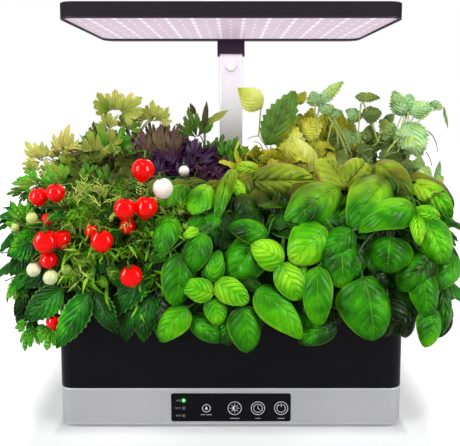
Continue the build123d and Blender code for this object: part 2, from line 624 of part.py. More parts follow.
with BuildPart() as sleeve_collar:
    with BuildSketch(Plane.XY.offset(SLEEVE_TOP_Z - 14.0)):
        with Locations((0, MAST_Y)):
            RectangleRounded(SLEEVE_W + 5.0, SLEEVE_T + 5.0, 5.0)
            RectangleRounded(SLEEVE_W + 0.1, SLEEVE_T + 0.1, 3.5, mode=Mode.SUBTRACT)
    extrude(amount=14.0)
    with BuildSketch(Plane.XY.offset(SLEEVE_TOP_Z)):
        with Locations((0, MAST_Y)):
            RectangleRounded(SLEEVE_W + 5.0, SLEEVE_T + 5.0, 5.0)
            RectangleRounded(MAST_W + 2 * GAP, MAST_T + 2 * GAP, 2.2, mode=Mode.SUBTRACT)
    extrude(amount=2.0)
    fillet(sleeve_collar.faces().sort_by(Axis.Z)[-1].outer_wire().edges(), 1.2)
save(sleeve_collar.part, "sleeve_collar")

with BuildPart() as mast_tube:
    with BuildSketch(Plane.XY.offset(TUBE_BOTTOM_Z)):
        with Locations((0, MAST_Y)):
            RectangleRounded(MAST_W, MAST_T, 2.0)
            RectangleRounded(MAST_W - 2 * MAST_WALL, MAST_T - 2 * MAST_WALL, 0.8, mode=Mode.SUBTRACT)
    extrude(amount=TUBE_TOP_Z - TUBE_BOTTOM_Z)
    with BuildSketch(Plane.XZ.offset(-MAST_FRONT_Y)):
        with Locations((0, BUTTON_Z)):
            Circle(BUTTON_R + 0.2)
    extrude(amount=-MAST_WALL, mode=Mode.SUBTRACT)
    with BuildSketch(Plane.XZ.offset(-(MAST_REAR_Y - MAST_WALL))):
        with Locations((-8, 461), (8, 461)):
            Circle(1.35)
    extrude(amount=-MAST_WALL, mode=Mode.SUBTRACT)
save(mast_tube.part, "mast_tube")

BUTTON_PROUD, BUTTON_FLANGE_T = 3.2, 1.6
with BuildPart() as release_button:
    with BuildSketch(Plane.XZ.offset(-(MAST_FRONT_Y - BUTTON_PROUD))):
        with Locations((0, BUTTON_Z)):
            Circle(BUTTON_R)
    extrude(amount=-(BUTTON_PROUD + MAST_WALL + 0.2))
    fillet(release_button.edges().group_by(Axis.Y)[0], 1.2)
    with BuildSketch(Plane.XZ.offset(-(MAST_FRONT_Y + MAST_WALL + 0.2))):
        with Locations((0, BUTTON_Z)):
            Circle(BUTTON_R + 1.4)
    extrude(amount=-BUTTON_FLANGE_T)
save(release_button.part, "release_button")

SPRING_R, SPRING_WIRE_R = 4.2, 0.45
spring_start_y = MAST_FRONT_Y + MAST_WALL + 0.2 + BUTTON_FLANGE_T
spring_length = MAST_REAR_Y - MAST_WALL - spring_start_y
with BuildPart() as button_spring:
    with BuildLine():
        coil = Helix(
            pitch=2.1,
            height=spring_length - 2 * SPRING_WIRE_R - 0.2,
            radius=SPRING_R,
            center=(0, spring_start_y + SPRING_WIRE_R + 0.1, BUTTON_Z),
            direction=(0, 1, 0),
        )
    with BuildSketch(Plane(coil @ 0, z_dir=coil % 0)):
        Circle(SPRING_WIRE_R)
    sweep(path=coil, is_frenet=True)
save(button_spring.part, "button_spring")

BRACKET_W, BRACKET_FRONT_Y, BRACKET_REAR_Y = 41.5, 97.0, 121.5
BRACKET_BOTTOM_Z, EAR_BOTTOM_Z = 452.3, 449.5
LAMP_SCREW_SPOTS = [(-14.0, 118.3), (14.0, 118.3)]
with BuildPart() as lamp_bracket:
    with BuildSketch(Plane.XY.offset(BRACKET_BOTTOM_Z)):
        with Locations((0, (BRACKET_FRONT_Y + BRACKET_REAR_Y) / 2)):
            Rectangle(BRACKET_W, BRACKET_REAR_Y - BRACKET_FRONT_Y)
    extrude(amount=LAMP_BOTTOM_Z - BRACKET_BOTTOM_Z)
    fillet(lamp_bracket.edges().filter_by(Axis.Z), 1.5)
    # two ears that wrap the sides of the mast lower down
    for side in (-1, 1):
        with BuildSketch(Plane.XY.offset(EAR_BOTTOM_Z)):
            with Locations((side * (BRACKET_W / 2 - 1.35), (BRACKET_FRONT_Y + BRACKET_REAR_Y) / 2)):
                Rectangle(2.7, BRACKET_REAR_Y - BRACKET_FRONT_Y - 3.0)
        extrude(amount=BRACKET_BOTTOM_Z - EAR_BOTTOM_Z + 1.0)
    # socket for the top of the mast tube
    with BuildSketch(Plane.XY.offset(EAR_BOTTOM_Z)):
        with Locations((0, MAST_Y)):
            RectangleRounded(MAST_W + 0.2, MAST_T + 0.2, 2.0)
    extrude(amount=TUBE_TOP_Z + 0.2 - EAR_BOTTOM_Z, mode=Mode.SUBTRACT)
    with BuildSketch(Plane.XZ.offset(-(MAST_REAR_Y))):
        with Locations((-8, 461), (8, 461)):
            Circle(1.7)
    extrude(amount=-(BRACKET_REAR_Y - MAST_REAR_Y), mode=Mode.SUBTRACT)
    with BuildSketch(Plane.XY.offset(LAMP_BOTTOM_Z)):
        with Locations(*LAMP_SCREW_SPOTS):
            Circle(1.1)
    extrude(amount=-12.0, mode=Mode.SUBTRACT)
    with BuildSketch(Plane.XY.offset(LAMP_BOTTOM_Z)):
        with Locations((CABLE_X, MAST_Y)):
            Circle(CABLE_HOLE_R)
    extrude(amount=TUBE_TOP_Z - LAMP_BOTTOM_Z, mode=Mode.SUBTRACT)
save(lamp_bracket.part, "lamp_bracket")

with BuildPart() as bracket_screws:
    with BuildSketch(Plane.XZ.offset(-(BRACKET_REAR_Y + 1.6))):
        with Locations((-8, 461), (8, 461)):
            Circle(3.0)
    extrude(amount=1.6)
    with BuildSketch(Plane.XZ.offset(-(BRACKET_REAR_Y + 1.6))):
        with Locations((-8, 461), (8, 461)):
            Rectangle(3.6, 0.9)
            Rectangle(0.9, 3.6)
    extrude(amount=1.0, mode=Mode.SUBTRACT)
    with BuildSketch(Plane.XZ.offset(-BRACKET_REAR_Y)):
        with Locations((-8, 461), (8, 461)):
            Circle(1.25)
    extrude(amount=BRACKET_REAR_Y - MAST_REAR_Y + MAST_WALL)
save(bracket_screws.part, "bracket_screws")

# ================================================================ grow lamp
BEZEL_T = 2.0
COVER_WALL = 1.8
DIFFUSER_T, DIFFUSER_EDGE = 1.5, 0.8  # the edge rests on the bezel
DIFFUSER_Z = LAMP_BOTTOM_Z + BEZEL_T
LED_BOARD_Z, LED_BOARD_T, LED_H = 481.0, 1.6, 0.7
WINDOW_W = LAMP_W - 2 * LAMP_RIM
WINDOW_D = LAMP_D - LAMP_RIM - LAMP_REAR_RIM
WINDOW_Y = LAMP_FRONT_Y + LAMP_RIM + WINDOW_D / 2
LAMP_POSTS = [(x, WINDOW_Y + y) for x in (-180.0, 0.0, 180.0) for y in (-WINDOW_D / 2 + 8, WINDOW_D / 2 - 8)]

with BuildPart() as lamp_bezel:
    with BuildSketch(Plane.XY.offset(LAMP_BOTTOM_Z)):
        with Locations((0, LAMP_Y)):
            RectangleRounded(LAMP_W, LAMP_D, LAMP_R)
        with Locations((0, WINDOW_Y)):
            RectangleRounded(WINDOW_W, WINDOW_D, LAMP_R - LAMP_RIM, mode=Mode.SUBTRACT)
        with Locations(*LAMP_SCREW_SPOTS):
            Circle(1.3, mode=Mode.SUBTRACT)
        with Locations((CABLE_X, MAST_Y)):
            Circle(CABLE_HOLE_R, mode=Mode.SUBTRACT)
    extrude(amount=BEZEL_T)
save(lamp_bezel.part, "lamp_bezel")

with BuildPart() as lamp_cover:
    with BuildSketch(Plane.XY.offset(DIFFUSER_Z)):
        with Locations((0, LAMP_Y)):
            RectangleRounded(LAMP_W, LAMP_D, LAMP_R)
    extrude(amount=LAMP_TOP_Z - DIFFUSER_Z)
    fillet(lamp_cover.edges().group_by(Axis.Z)[-1], 1.0)
    with BuildSketch(Plane.XY.offset(DIFFUSER_Z)):
        with Locations((0, LAMP_Y)):
            RectangleRounded(LAMP_W - 2 * COVER_WALL, LAMP_D - 2 * COVER_WALL, LAMP_R - COVER_WALL)
    extrude(amount=LAMP_TOP_Z - COVER_WALL - DIFFUSER_Z, mode=Mode.SUBTRACT)
    # posts that the board is screwed to
    with BuildSketch(Plane.XY.offset(LED_BOARD_Z + LED_BOARD_T)):
        with Locations(*LAMP_POSTS):
            Circle(3.0)
            Circle(1.2, mode=Mode.SUBTRACT)
    extrude(amount=LAMP_TOP_Z - COVER_WALL - LED_BOARD_Z - LED_BOARD_T)
    # heat vents through the top
    with BuildSketch(Plane.XY.offset(LAMP_TOP_Z - COVER_WALL)):
        with Locations((0, LAMP_Y)):
            with GridLocations(10, 150, 17, 2):
                SlotOverall(24, 3, rotation=90)
    extrude(amount=COVER_WALL, mode=Mode.SUBTRACT)
save(lamp_cover.part, "lamp_cover")

with BuildPart() as diffuser:
    with BuildSketch(Plane.XY.offset(DIFFUSER_Z)):
        with Locations((0, WINDOW_Y)):
            RectangleRounded(WINDOW_W + 2 * DIFFUSER_EDGE, WINDOW_D + 2 * DIFFUSER_EDGE, LAMP_R - LAMP_RIM)
    extrude(amount=DIFFUSER_T)
save(diffuser.part, "diffuser")

with BuildPart() as led_board:
    with BuildSketch(Plane.XY.offset(LED_BOARD_Z)):
        with Locations((0, WINDOW_Y)):
            RectangleRounded(WINDOW_W, WINDOW_D, LAMP_R - LAMP_RIM)
        with Locations(*LAMP_POSTS):
            Circle(1.4, mode=Mode.SUBTRACT)
    extrude(amount=LED_BOARD_T)
save(led_board.part, "led_board")

with BuildPart() as led_chips:
    with BuildSketch(Plane.XY.offset(LED_BOARD_Z)):
        with Locations((0, WINDOW_Y)):
            with GridLocations(LED_PITCH, LED_PITCH, LED_COLUMNS, LED_ROWS):
                Rectangle(LED_SIZE, LED_SIZE)
            with GridLocations(LED_PITCH, LED_PITCH, LED_COLUMNS - 1, LED_ROWS - 1):
                Rectangle(SMALL_LED_SIZE, SMALL_LED_SIZE)
    extrude(amount=-LED_H)
save(led_chips.part, "led_chips")

save(screw_group(LAMP_POSTS, LED_BOARD_Z - 1.2, 2.4, 1.2, 1.1, 6.0), "board_screws")
save(screw_group(LAMP_SCREW_SPOTS, DIFFUSER_Z + 1.6, 2.1, 1.6, 1.0, 11.0, up=False), "lamp_screws")

# ---- the lamp's cable: straight up inside the mast, and one bend in the base towards the power board
CABLE_TOP_Z, CABLE_LOW_Z, CABLE_BEND_R = LED_BOARD_Z, 24.0, 15.0
with BuildPart() as lamp_cable:
    with BuildLine():
        route = FilletPolyline(
            (CABLE_X, MAST_Y, CABLE_TOP_Z),
            (CABLE_X, MAST_Y, CABLE_LOW_Z),
            (CABLE_X, POWER_BOARD_Y + POWER_BOARD_D / 2, CABLE_LOW_Z),
            radius=CABLE_BEND_R,
        )
    with BuildSketch(Plane(route @ 0, z_dir=route % 0)):
        Circle(CABLE_R)
    sweep(path=route)
save(lamp_cable.part, "lamp_cable")

# ================================================================ plants
# Each plant is a hollow crown of leaves on one stem that stands in its sponge. The front row's crowns
# hang down past the deck, in front of the tank and beside it.
CROWN_T, CROWN_R = 4.0, 28.0
CROWN_TOP_T = 16.0  # the crown's roof, as thick at its middle as the fillet round it needs
FRONT_CROWN_BOTTOM_Z, REAR_CROWN_BOTTOM_Z = 125.0, 162.0
BODY_CLEARANCE = 4.0
STEM_R = 3.5
# name, the pod's place in PODS, the crown's x limits, y limits and top
CROWNS = {
    "tomato_plant": (0, (-275.0, -134.0), (-172.0, -10.0), 285.0),
    "dill_plant": (1, (-133.0, -26.0), (-168.0, -10.0), 285.0),
    "basil_plant_left": (2, (-25.0, 104.0), (-172.0, -10.0), 300.0),
    "basil_plant_right": (3, (105.0, 275.0), (-172.0, -10.0), 300.0),
    "parsley_plant": (4, (-285.0, -108.0), (-9.0, 80.0), 402.0),
    "purple_basil_plant": (5, (-107.0, -1.0), (-9.0, 80.0), 385.0),
    "mustard_plant": (6, (1.0, 107.0), (-9.0, 80.0), 402.0),
    "mint_plant": (7, (108.0, 285.0), (-9.0, 80.0), 408.0),
}
for plant_name, (pod, (x0, x1), (y0, y1), top_z) in CROWNS.items():
    bottom_z = FRONT_CROWN_BOTTOM_Z if y0 < FRONT_Y else REAR_CROWN_BOTTOM_Z
    middle = ((x0 + x1) / 2, (y0 + y1) / 2)
    with BuildPart() as plant:
        with BuildSketch(Plane.XY.offset(bottom_z)):
            with Locations(middle):
                RectangleRounded(x1 - x0, y1 - y0, CROWN_R)
        extrude(amount=top_z - bottom_z)
        fillet(plant.edges().group_by(Axis.Z)[-1], CROWN_R - CROWN_T)
        with BuildSketch(Plane.XY.offset(bottom_z)):
            with Locations(middle):
                RectangleRounded(x1 - x0 - 2 * CROWN_T, y1 - y0 - 2 * CROWN_T, CROWN_R - CROWN_T)
        extrude(amount=top_z - CROWN_TOP_T - bottom_z, mode=Mode.SUBTRACT)
        # room for the deck and the tank, inside the part that hangs down
        if bottom_z < REAR_CROWN_BOTTOM_Z:
            with BuildSketch(Plane.XY.offset(bottom_z)):
                Rectangle(BODY_W + 2 * BODY_CLEARANCE, BODY_D + 2 * BODY_CLEARANCE)
            extrude(amount=REAR_CROWN_BOTTOM_Z - bottom_z, mode=Mode.SUBTRACT)
        with BuildSketch(Plane.XY.offset(SPONGE_TOP_Z)):
            with Locations(PODS[pod]):
                Circle(STEM_R)
        extrude(amount=top_z - CROWN_TOP_T / 2 - SPONGE_TOP_Z)
    save(plant.part, plant_name)
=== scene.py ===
"""Countertop hydroponic garden: finishes for the housings, lamp and panel, and eight leafy plants."""

import json
from math import cos, pi, radians, sin
from random import Random

import bmesh
import bpy
import numpy as np
from mathutils import Matrix, Vector

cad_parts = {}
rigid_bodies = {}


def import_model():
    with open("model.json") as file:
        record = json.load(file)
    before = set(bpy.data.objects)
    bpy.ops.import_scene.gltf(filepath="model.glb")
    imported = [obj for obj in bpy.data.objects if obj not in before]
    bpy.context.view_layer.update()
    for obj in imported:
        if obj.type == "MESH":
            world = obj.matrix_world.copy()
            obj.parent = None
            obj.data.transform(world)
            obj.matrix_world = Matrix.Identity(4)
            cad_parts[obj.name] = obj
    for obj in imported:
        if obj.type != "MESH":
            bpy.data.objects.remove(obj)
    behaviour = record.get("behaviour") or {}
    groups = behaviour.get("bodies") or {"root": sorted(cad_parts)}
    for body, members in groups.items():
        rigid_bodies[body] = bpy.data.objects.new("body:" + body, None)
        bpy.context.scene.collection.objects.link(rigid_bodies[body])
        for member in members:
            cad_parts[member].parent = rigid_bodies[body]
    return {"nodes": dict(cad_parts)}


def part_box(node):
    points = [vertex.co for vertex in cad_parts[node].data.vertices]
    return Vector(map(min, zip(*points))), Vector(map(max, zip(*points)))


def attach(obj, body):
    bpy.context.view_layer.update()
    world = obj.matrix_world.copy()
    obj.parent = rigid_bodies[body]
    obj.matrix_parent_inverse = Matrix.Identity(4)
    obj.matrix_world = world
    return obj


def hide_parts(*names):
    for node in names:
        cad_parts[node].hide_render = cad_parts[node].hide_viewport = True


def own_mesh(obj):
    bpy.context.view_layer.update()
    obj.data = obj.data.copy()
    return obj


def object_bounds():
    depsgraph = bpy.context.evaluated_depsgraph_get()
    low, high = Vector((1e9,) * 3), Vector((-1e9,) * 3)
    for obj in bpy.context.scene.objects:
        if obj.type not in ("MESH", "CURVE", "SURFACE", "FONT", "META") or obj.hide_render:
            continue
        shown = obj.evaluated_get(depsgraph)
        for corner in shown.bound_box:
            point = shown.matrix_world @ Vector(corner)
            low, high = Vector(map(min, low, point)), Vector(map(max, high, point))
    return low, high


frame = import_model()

MM = 0.001
NODES = frame["nodes"]
cad_low, cad_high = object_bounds()
for imported in bpy.context.scene.objects:
    imported.select_set(False)

# ================================================================ camera
PICTURE_W, PICTURE_H = 460, 446
SENSOR_MM = 36.0
FOCAL_PX = 530.0
CAMERA_PLACE = Vector((0.0, -0.7174, 0.381))
CAMERA_PITCH = radians(5.07)
CENTRE_PX = (231.0, 148.0)  # where the lens looks straight ahead, in the picture's pixels


def add_camera():
    data = bpy.data.cameras.new("camera")
    data.sensor_width = SENSOR_MM
    data.lens = FOCAL_PX * SENSOR_MM / PICTURE_W
    data.shift_x = (PICTURE_W / 2 - CENTRE_PX[0]) / PICTURE_W
    data.shift_y = -(PICTURE_H / 2 - CENTRE_PX[1]) / PICTURE_W
    data.clip_start = 0.01
    camera = bpy.data.objects.new("camera", data)
    camera.location = CAMERA_PLACE
    camera.rotation_euler = (pi / 2 - CAMERA_PITCH, 0, 0)
    bpy.context.scene.collection.objects.link(camera)
    bpy.context.scene.camera = camera


def spot(px, py, y):
    """The point at depth y (metres) that the front view shows at pixel (px, py)."""
    right = (px - CENTRE_PX[0]) / FOCAL_PX
    up = -(py - CENTRE_PX[1]) / FOCAL_PX
    way = Vector((
        right,
        cos(CAMERA_PITCH) + up * sin(CAMERA_PITCH),
        -sin(CAMERA_PITCH) + up * cos(CAMERA_PITCH),
    ))
    return CAMERA_PLACE + way * ((y - CAMERA_PLACE.y) / way.y)


def per_metre(y):
    """Pixels per metre at depth y."""
    return FOCAL_PX / (y - CAMERA_PLACE.y)


def srgb(red, green, blue):
    """A colour given as screen values from 0 to 255, as the linear colour that a shader takes."""
    def linear(value):
        value /= 255
        return value / 12.92 if value <= 0.04045 else ((value + 0.055) / 1.055) ** 2.4
    return (linear(red), linear(green), linear(blue), 1.0)


# ================================================================ materials
class Val:
    """A socket in a material's tree, so that maths on it can be written as an expression."""

    def __init__(self, look, socket):
        self.look = look
        self.socket = socket

    def __add__(self, other):
        return self.look.maths("ADD", self, other)

    def __radd__(self, other):
        return self.look.maths("ADD", other, self)

    def __sub__(self, other):
        return self.look.maths("SUBTRACT", self, other)

    def __rsub__(self, other):
        return self.look.maths("SUBTRACT", other, self)

    def __mul__(self, other):
        return self.look.maths("MULTIPLY", self, other)

    def __rmul__(self, other):
        return self.look.maths("MULTIPLY", other, self)

    def __truediv__(self, other):
        return self.look.maths("DIVIDE", self, other)

    def __abs__(self):
        return self.look.maths("ABSOLUTE", self)


class Nodes:
    """Short ways to add nodes to a material's tree or the world's."""

    def __init__(self, tree):
        self.tree = tree

    def node(self, kind, settings, inputs, output=0):
        """Adds a node: its settings first, then the value or link of each input, and returns one output."""
        new = self.tree.nodes.new(kind)
        for key, value in settings.items():
            if key == "stops":
                while len(new.color_ramp.elements) < len(value):
                    new.color_ramp.elements.new(0.5)
                for element, (place, colour) in zip(new.color_ramp.elements, value):
                    element.position = place
                    element.color = colour
            else:
                setattr(new, key, value)
        for key, value in inputs.items():
            if isinstance(value, Val):
                self.tree.links.new(value.socket, new.inputs[key])
            else:
                new.inputs[key].default_value = value
        return Val(self, new.outputs[output])

    def maths(self, operation, *values):
        return self.node("ShaderNodeMath", {"operation": operation}, dict(enumerate(values)))

    def smooth(self, value, low, high):
        """Goes from 0 at low to 1 at high, with soft ends."""
        return self.node("ShaderNodeMapRange", {"interpolation_type": "SMOOTHSTEP"},
                         {"Value": value, "From Min": low, "From Max": high})

    def place(self):
        return self.node("ShaderNodeTexCoord", {}, {}, output="Object")

    def axes(self, vector):
        """The X, Y and Z of a vector."""
        split = self.node("ShaderNodeSeparateXYZ", {}, {"Vector": vector})
        return [Val(self, output) for output in split.socket.node.outputs]

    def noise(self, scale, detail=2.0, vector=None, rough=0.5):
        inputs = {"Vector": vector or self.place(), "Scale": scale, "Detail": detail, "Roughness": rough}
        return self.node("ShaderNodeTexNoise", {}, inputs)

    def mix(self, factor, first, second, way="MIX"):
        return self.node("ShaderNodeMix", {"data_type": "RGBA", "blend_type": way},
                         {0: factor, 6: first, 7: second}, output=2)

    def ramp(self, value, stops):
        """A colour by value. Each stop is a place from 0 to 1 and a colour in screen values."""
        stops = [(place, srgb(*colour)) for place, *colour in stops]
        return self.node("ShaderNodeValToRGB", {"stops": stops}, {"Fac": value})

    def bump(self, height, strength, distance):
        inputs = {"Height": height, "Strength": strength, "Distance": distance}
        return self.node("ShaderNodeBump", {}, inputs)


class Look(Nodes):
    """A material with one Principled shader, and a short way to feed it."""

    def __init__(self, name, roughness=0.5, metallic=0.0, coat=0.0, specular=0.5):
        self.material = bpy.data.materials.new(name)
        self.material.use_nodes = True
        super().__init__(self.material.node_tree)
        self.shader = self.tree.nodes["Principled BSDF"]
        self.shader.inputs["Roughness"].default_value = roughness
        self.shader.inputs["Metallic"].default_value = metallic
        self.shader.inputs["Coat Weight"].default_value = coat
        self.shader.inputs["Specular IOR Level"].default_value = specular

    def feed(self, **sockets):
        """Sets or links the shader's sockets, such as base_color or normal."""
        for key, value in sockets.items():
            socket = self.shader.inputs[key.replace("_", " ").title()]
            if isinstance(value, Val):
                self.tree.links.new(value.socket, socket)
            else:
                socket.default_value = value
        return self.material


MAST_Y = 0.108
LED_PITCH = 0.030
LED_START = LED_PITCH * 6  # keeps the pattern's place above 0 all over the board
# the two sets of glows: their shift on the grid, half width, half depth and strength
LED_GLOWS = ((0.0, 0.0037, 0.018, 1.0), (LED_PITCH / 2, 0.0022, 0.0095, 0.75))
LIT_LENS = (-0.055, 0.0345)
# each mode lens: its height, its hours of light and darkness, its own colour and its light's
MODES = (
    (0.0345, "16/8", (120, 230, 150), (90, 235, 130)),
    (0.0251, "12/12", (44, 48, 66), (34, 38, 60)),
    (0.0160, "8/16", (56, 42, 42), (44, 30, 28)),
)
# each plain finish: its colour, its settings, and the CAD nodes that take it
PLAIN_FINISHES = {
    "gloss_black": ((13, 12, 16), dict(roughness=0.35, grain=700.0, depth=0.00002, specular=0.05),
                    ["water_tank"]),
    "satin_black": ((24, 23, 26), dict(roughness=0.42, grain=1300.0, specular=0.12),
                    ["grow_deck", "filler_lid", "bottom_cover"]),
    "basket_black": ((24, 24, 26), dict(roughness=0.55, grain=1500.0),
                     ["pump_housing", "pump_grille", "float_guide",
                      *[f"basket_{number}" for number in range(1, 9)]]),
    "key_cap": ((11, 10, 14), dict(roughness=0.24, grain=500.0, depth=0.00001, specular=0.08),
                ["brightness_button", "timer_button", "power_button", "low_water_lens", "power_socket"]),
    "lamp_black": ((39, 36, 42), dict(roughness=0.7, grain=2000.0, specular=0.01), ["lamp_cover"]),
    "bezel_black": ((48, 34, 50), dict(roughness=0.5, grain=2000.0, specular=0.04), ["lamp_bezel"]),
    "bracket_black": ((50, 34, 52), dict(roughness=0.5, grain=1500.0, specular=0.05), ["lamp_bracket"]),
    "soft_rubber": ((38, 38, 40), dict(roughness=0.85, grain=900.0, depth=0.0001),
                    ["rubber_feet", "pump_feet"]),
    "cable_jacket": ((28, 28, 30), dict(roughness=0.5, grain=1200.0), ["lamp_cable"]),
    "push_button": ((252, 251, 253), dict(roughness=0.35, grain=900.0, depth=0.00002),
                    ["release_button"]),
    "float_orange": ((232, 96, 24), dict(roughness=0.35), ["water_float"]),
    "white_plastic": ((228, 228, 224), dict(roughness=0.4), ["pump_impeller"]),
    "frosted_tube": ((196, 208, 212), dict(roughness=0.25, coat=0.4), ["water_riser"]),
    "green_board": ((18, 84, 48), dict(roughness=0.4, grain=300.0, shade=0.2, coat=0.4),
                    ["control_board", "power_board"]),
    "white_board": ((232, 232, 228), dict(roughness=0.4, grain=300.0), ["led_board"]),
    "led_chip": ((250, 246, 220), dict(roughness=0.25, coat=0.5), ["led_chips"]),
    "switch_case": ((70, 70, 74), dict(roughness=0.5, grain=900.0), ["tact_switches"]),
    "zinc_steel": ((188, 188, 190), dict(roughness=0.3, grain=900.0, metallic=1.0),
                   ["cover_screws", "tank_bolts", "board_screws", "lamp_screws", "bracket_screws",
                    "filler_pin", "pump_shaft", "button_spring"]),
    "print_ink": ((214, 214, 218), dict(roughness=0.5, grain=1500.0), []),
    "faint_ink": ((156, 156, 160), dict(roughness=0.5, grain=1500.0), []),
}


def moulded(name, colour, roughness=0.45, grain=1800.0, depth=0.00004, shade=0.06, coat=0.0, metallic=0.0,
            specular=0.2):
    """Moulded plastic or painted metal: a fine grain, and a little unevenness in colour and shine."""
    look = Look(name, roughness=roughness, coat=coat, metallic=metallic, specular=specular)
    cloud = look.noise(14.0, 3.0)
    fine = look.noise(grain, 2.0)
    darker = tuple(channel * (1 - 2 * shade) for channel in colour[:3]) + (1.0,)
    return look.feed(
        base_color=look.mix(cloud * 0.6 + fine * 0.4, darker, colour),
        roughness=roughness - 0.06 + cloud * 0.12,
        normal=look.bump(fine, 0.35, depth),
    )


def silver_finish():
    """Satin silver: fine flakes, painted shade at its foot, and a painted highlight along its bottom and
    top edges.
    """
    look = Look("silver_satin", roughness=0.42, metallic=0.15, specular=0.12)
    z = look.axes(look.place())[2]
    flake = look.noise(2600.0, 1.0)
    cloud = look.noise(9.0, 2.0)
    painted_edge_highlight = srgb(236, 236, 240)
    body = look.mix(flake, srgb(152, 152, 155), srgb(178, 178, 181))
    # painted shade: darker towards the foot
    body = look.mix((1 - look.smooth(z, 0.004, 0.03)) * 0.3, body, srgb(150, 149, 153))
    # painted highlight: a light line along the rounded bottom edge
    body = look.mix((1 - look.smooth(z, 0.003, 0.009)) * 0.9, body, painted_edge_highlight)
    # painted highlight: a light line along the top edge, at the seam
    body = look.mix(look.smooth(z, 0.0462, 0.0485) * 0.25, body, painted_edge_highlight)
    return look.feed(
        base_color=look.mix(cloud * 0.25, body, srgb(205, 205, 208)),
        roughness=0.36 + flake * 0.12,
        normal=look.bump(flake, 0.25, 0.00003),
    )


def mast_finish():
    """Drawn aluminium: hairlines along the tube, painted shade along its corners, and the lamp's lilac
    light painted on near the lamp.
    """
    look = Look("drawn_aluminium", roughness=0.38, metallic=0.1, specular=0.12)
    place = look.place()
    stretched = look.node("ShaderNodeMapping", {}, {"Vector": place, "Scale": (900.0, 900.0, 9.0)})
    lines = look.noise(1.0, 2.0, stretched)
    x, y, z = look.axes(place)
    painted_lamp_glow = look.smooth(z, 0.36, 0.46)
    body = look.mix(lines, srgb(228, 227, 235), srgb(245, 244, 249))
    # painted light: the lamp's lilac light on the tube near the lamp
    body = look.mix(painted_lamp_glow * 0.8, body, srgb(240, 226, 240))
    # painted shade along the tube's rounded corners
    corner = look.smooth(abs(x), 0.0156, 0.0172) * look.smooth(abs(y - MAST_Y), 0.0045, 0.0065)
    return look.feed(
        base_color=look.mix(corner * 0.6, body, srgb(160, 152, 168)),
        roughness=0.32 + lines * 0.14,
        normal=look.bump(lines, 0.2, 0.00003),
    )


def diffuser_finish():
    """Prismatic acrylic with the diodes glowing through it, on the same grid as the board behind."""
    look = Look("lit_diffuser", roughness=0.4, specular=0.1)
    x, y, _ = look.axes(look.place())
    low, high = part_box("diffuser")
    middle = (low + high) / 2
    glow = 0.0
    for shift, wide, deep, strength in LED_GLOWS:
        # the rows and columns of diodes repeat about the middle of the board
        across = look.maths("PINGPONG", x + (LED_START + shift - LED_PITCH / 2), LED_PITCH / 2)
        along = look.maths("PINGPONG", y + (LED_START - middle.y + shift), LED_PITCH / 2)
        # each glow is drawn out along the board's depth
        far = look.maths("SQRT", across * across / wide ** 2 + along * along / deep ** 2)
        glow = look.maths("MAXIMUM", glow, (1 - look.smooth(far, 0.35, 1.0)) * strength)
    ripple = look.noise(700.0, 1.0)
    halo = look.noise(60.0, 2.0)
    body = look.mix(halo, srgb(210, 186, 204), srgb(228, 206, 221))
    lit = look.mix(look.maths("MINIMUM", glow, 1.0), body, srgb(255, 250, 255))
    look.feed(emission_strength=0.78, base_color=srgb(60, 52, 58))
    return look.feed(emission_color=lit, normal=look.bump(ripple, 0.2, 0.0001))


def panel_finish():
    """Black panel glass, with the lit lens's green glow spread a little over it."""
    look = Look("panel_glass", roughness=0.2, specular=0.08)
    x, _, z = look.axes(look.place())
    cloud = look.noise(14.0, 3.0)
    across, up = x - LIT_LENS[0], z - LIT_LENS[1]
    near = 1 - look.smooth(look.maths("SQRT", across * across + up * up), 0.0022, 0.0052)
    look.feed(emission_strength=1.0, emission_color=look.mix(near, (0, 0, 0, 1), srgb(8, 62, 20)))
    return look.feed(
        base_color=look.mix(cloud, srgb(5, 4, 8), srgb(8, 7, 11)),
        roughness=0.17 + cloud * 0.08,
        normal=look.bump(look.noise(400.0, 2.0), 0.3, 0.00001),
    )


def sponge_finish():
    look = Look("peat_sponge", roughness=0.95)
    crumb = look.noise(420.0, 4.0, rough=0.7)
    return look.feed(
        base_color=look.mix(crumb, srgb(38, 24, 14), srgb(104, 74, 46)),
        normal=look.bump(crumb, 0.9, 0.0012),
    )


def lens_finish():
    """The mode lenses are one piece of CAD, so each lens gets its own colour and light by its height."""
    look = Look("mode_lenses", roughness=0.2, coat=0.6)
    z = look.axes(look.place())[2]
    rings = look.noise(900.0, 1.0)
    colour, glow = srgb(20, 20, 24), srgb(0, 0, 0)
    for height, _, face, light in MODES:
        near = 1 - look.smooth(abs(z - height), 0.003, 0.004)
        colour = look.mix(near, colour, srgb(*face))
        glow = look.mix(near, glow, srgb(*light))
    look.feed(emission_strength=1.0)
    return look.feed(base_color=colour, emission_color=glow, normal=look.bump(rings, 0.1, 0.00002))


def paint(material, *nodes):
    for name in nodes:
        NODES[name].data.materials.clear()
        NODES[name].data.materials.append(material)


def finish_cad():
    """Gives each carried-over CAD piece its finish, and returns the plain finishes by name."""
    plain = {}
    for name, (colour, settings, nodes) in PLAIN_FINISHES.items():
        plain[name] = moulded(name, srgb(*colour), **settings)
        paint(plain[name], *nodes)
    paint(silver_finish(), "base_housing", "mast_foot")
    paint(mast_finish(), "mast_sleeve", "sleeve_collar", "mast_tube")
    paint(diffuser_finish(), "diffuser")
    paint(panel_finish(), "control_panel")
    paint(lens_finish(), "indicator_lenses")
    paint(sponge_finish(), "grow_sponges")
    return plain


# ================================================================ modelling helpers
def edit(on):
    bpy.ops.object.mode_set(mode="EDIT" if on else "OBJECT")


def clear_selection():
    if bpy.context.object and bpy.context.object.mode == "EDIT":
        edit(False)
    for other in bpy.context.selected_objects:
        other.select_set(False)


def select_only(*objects):
    """Selects the objects and makes the first one active."""
    clear_selection()
    for obj in objects:
        obj.select_set(True)
    bpy.context.view_layer.objects.active = objects[0]


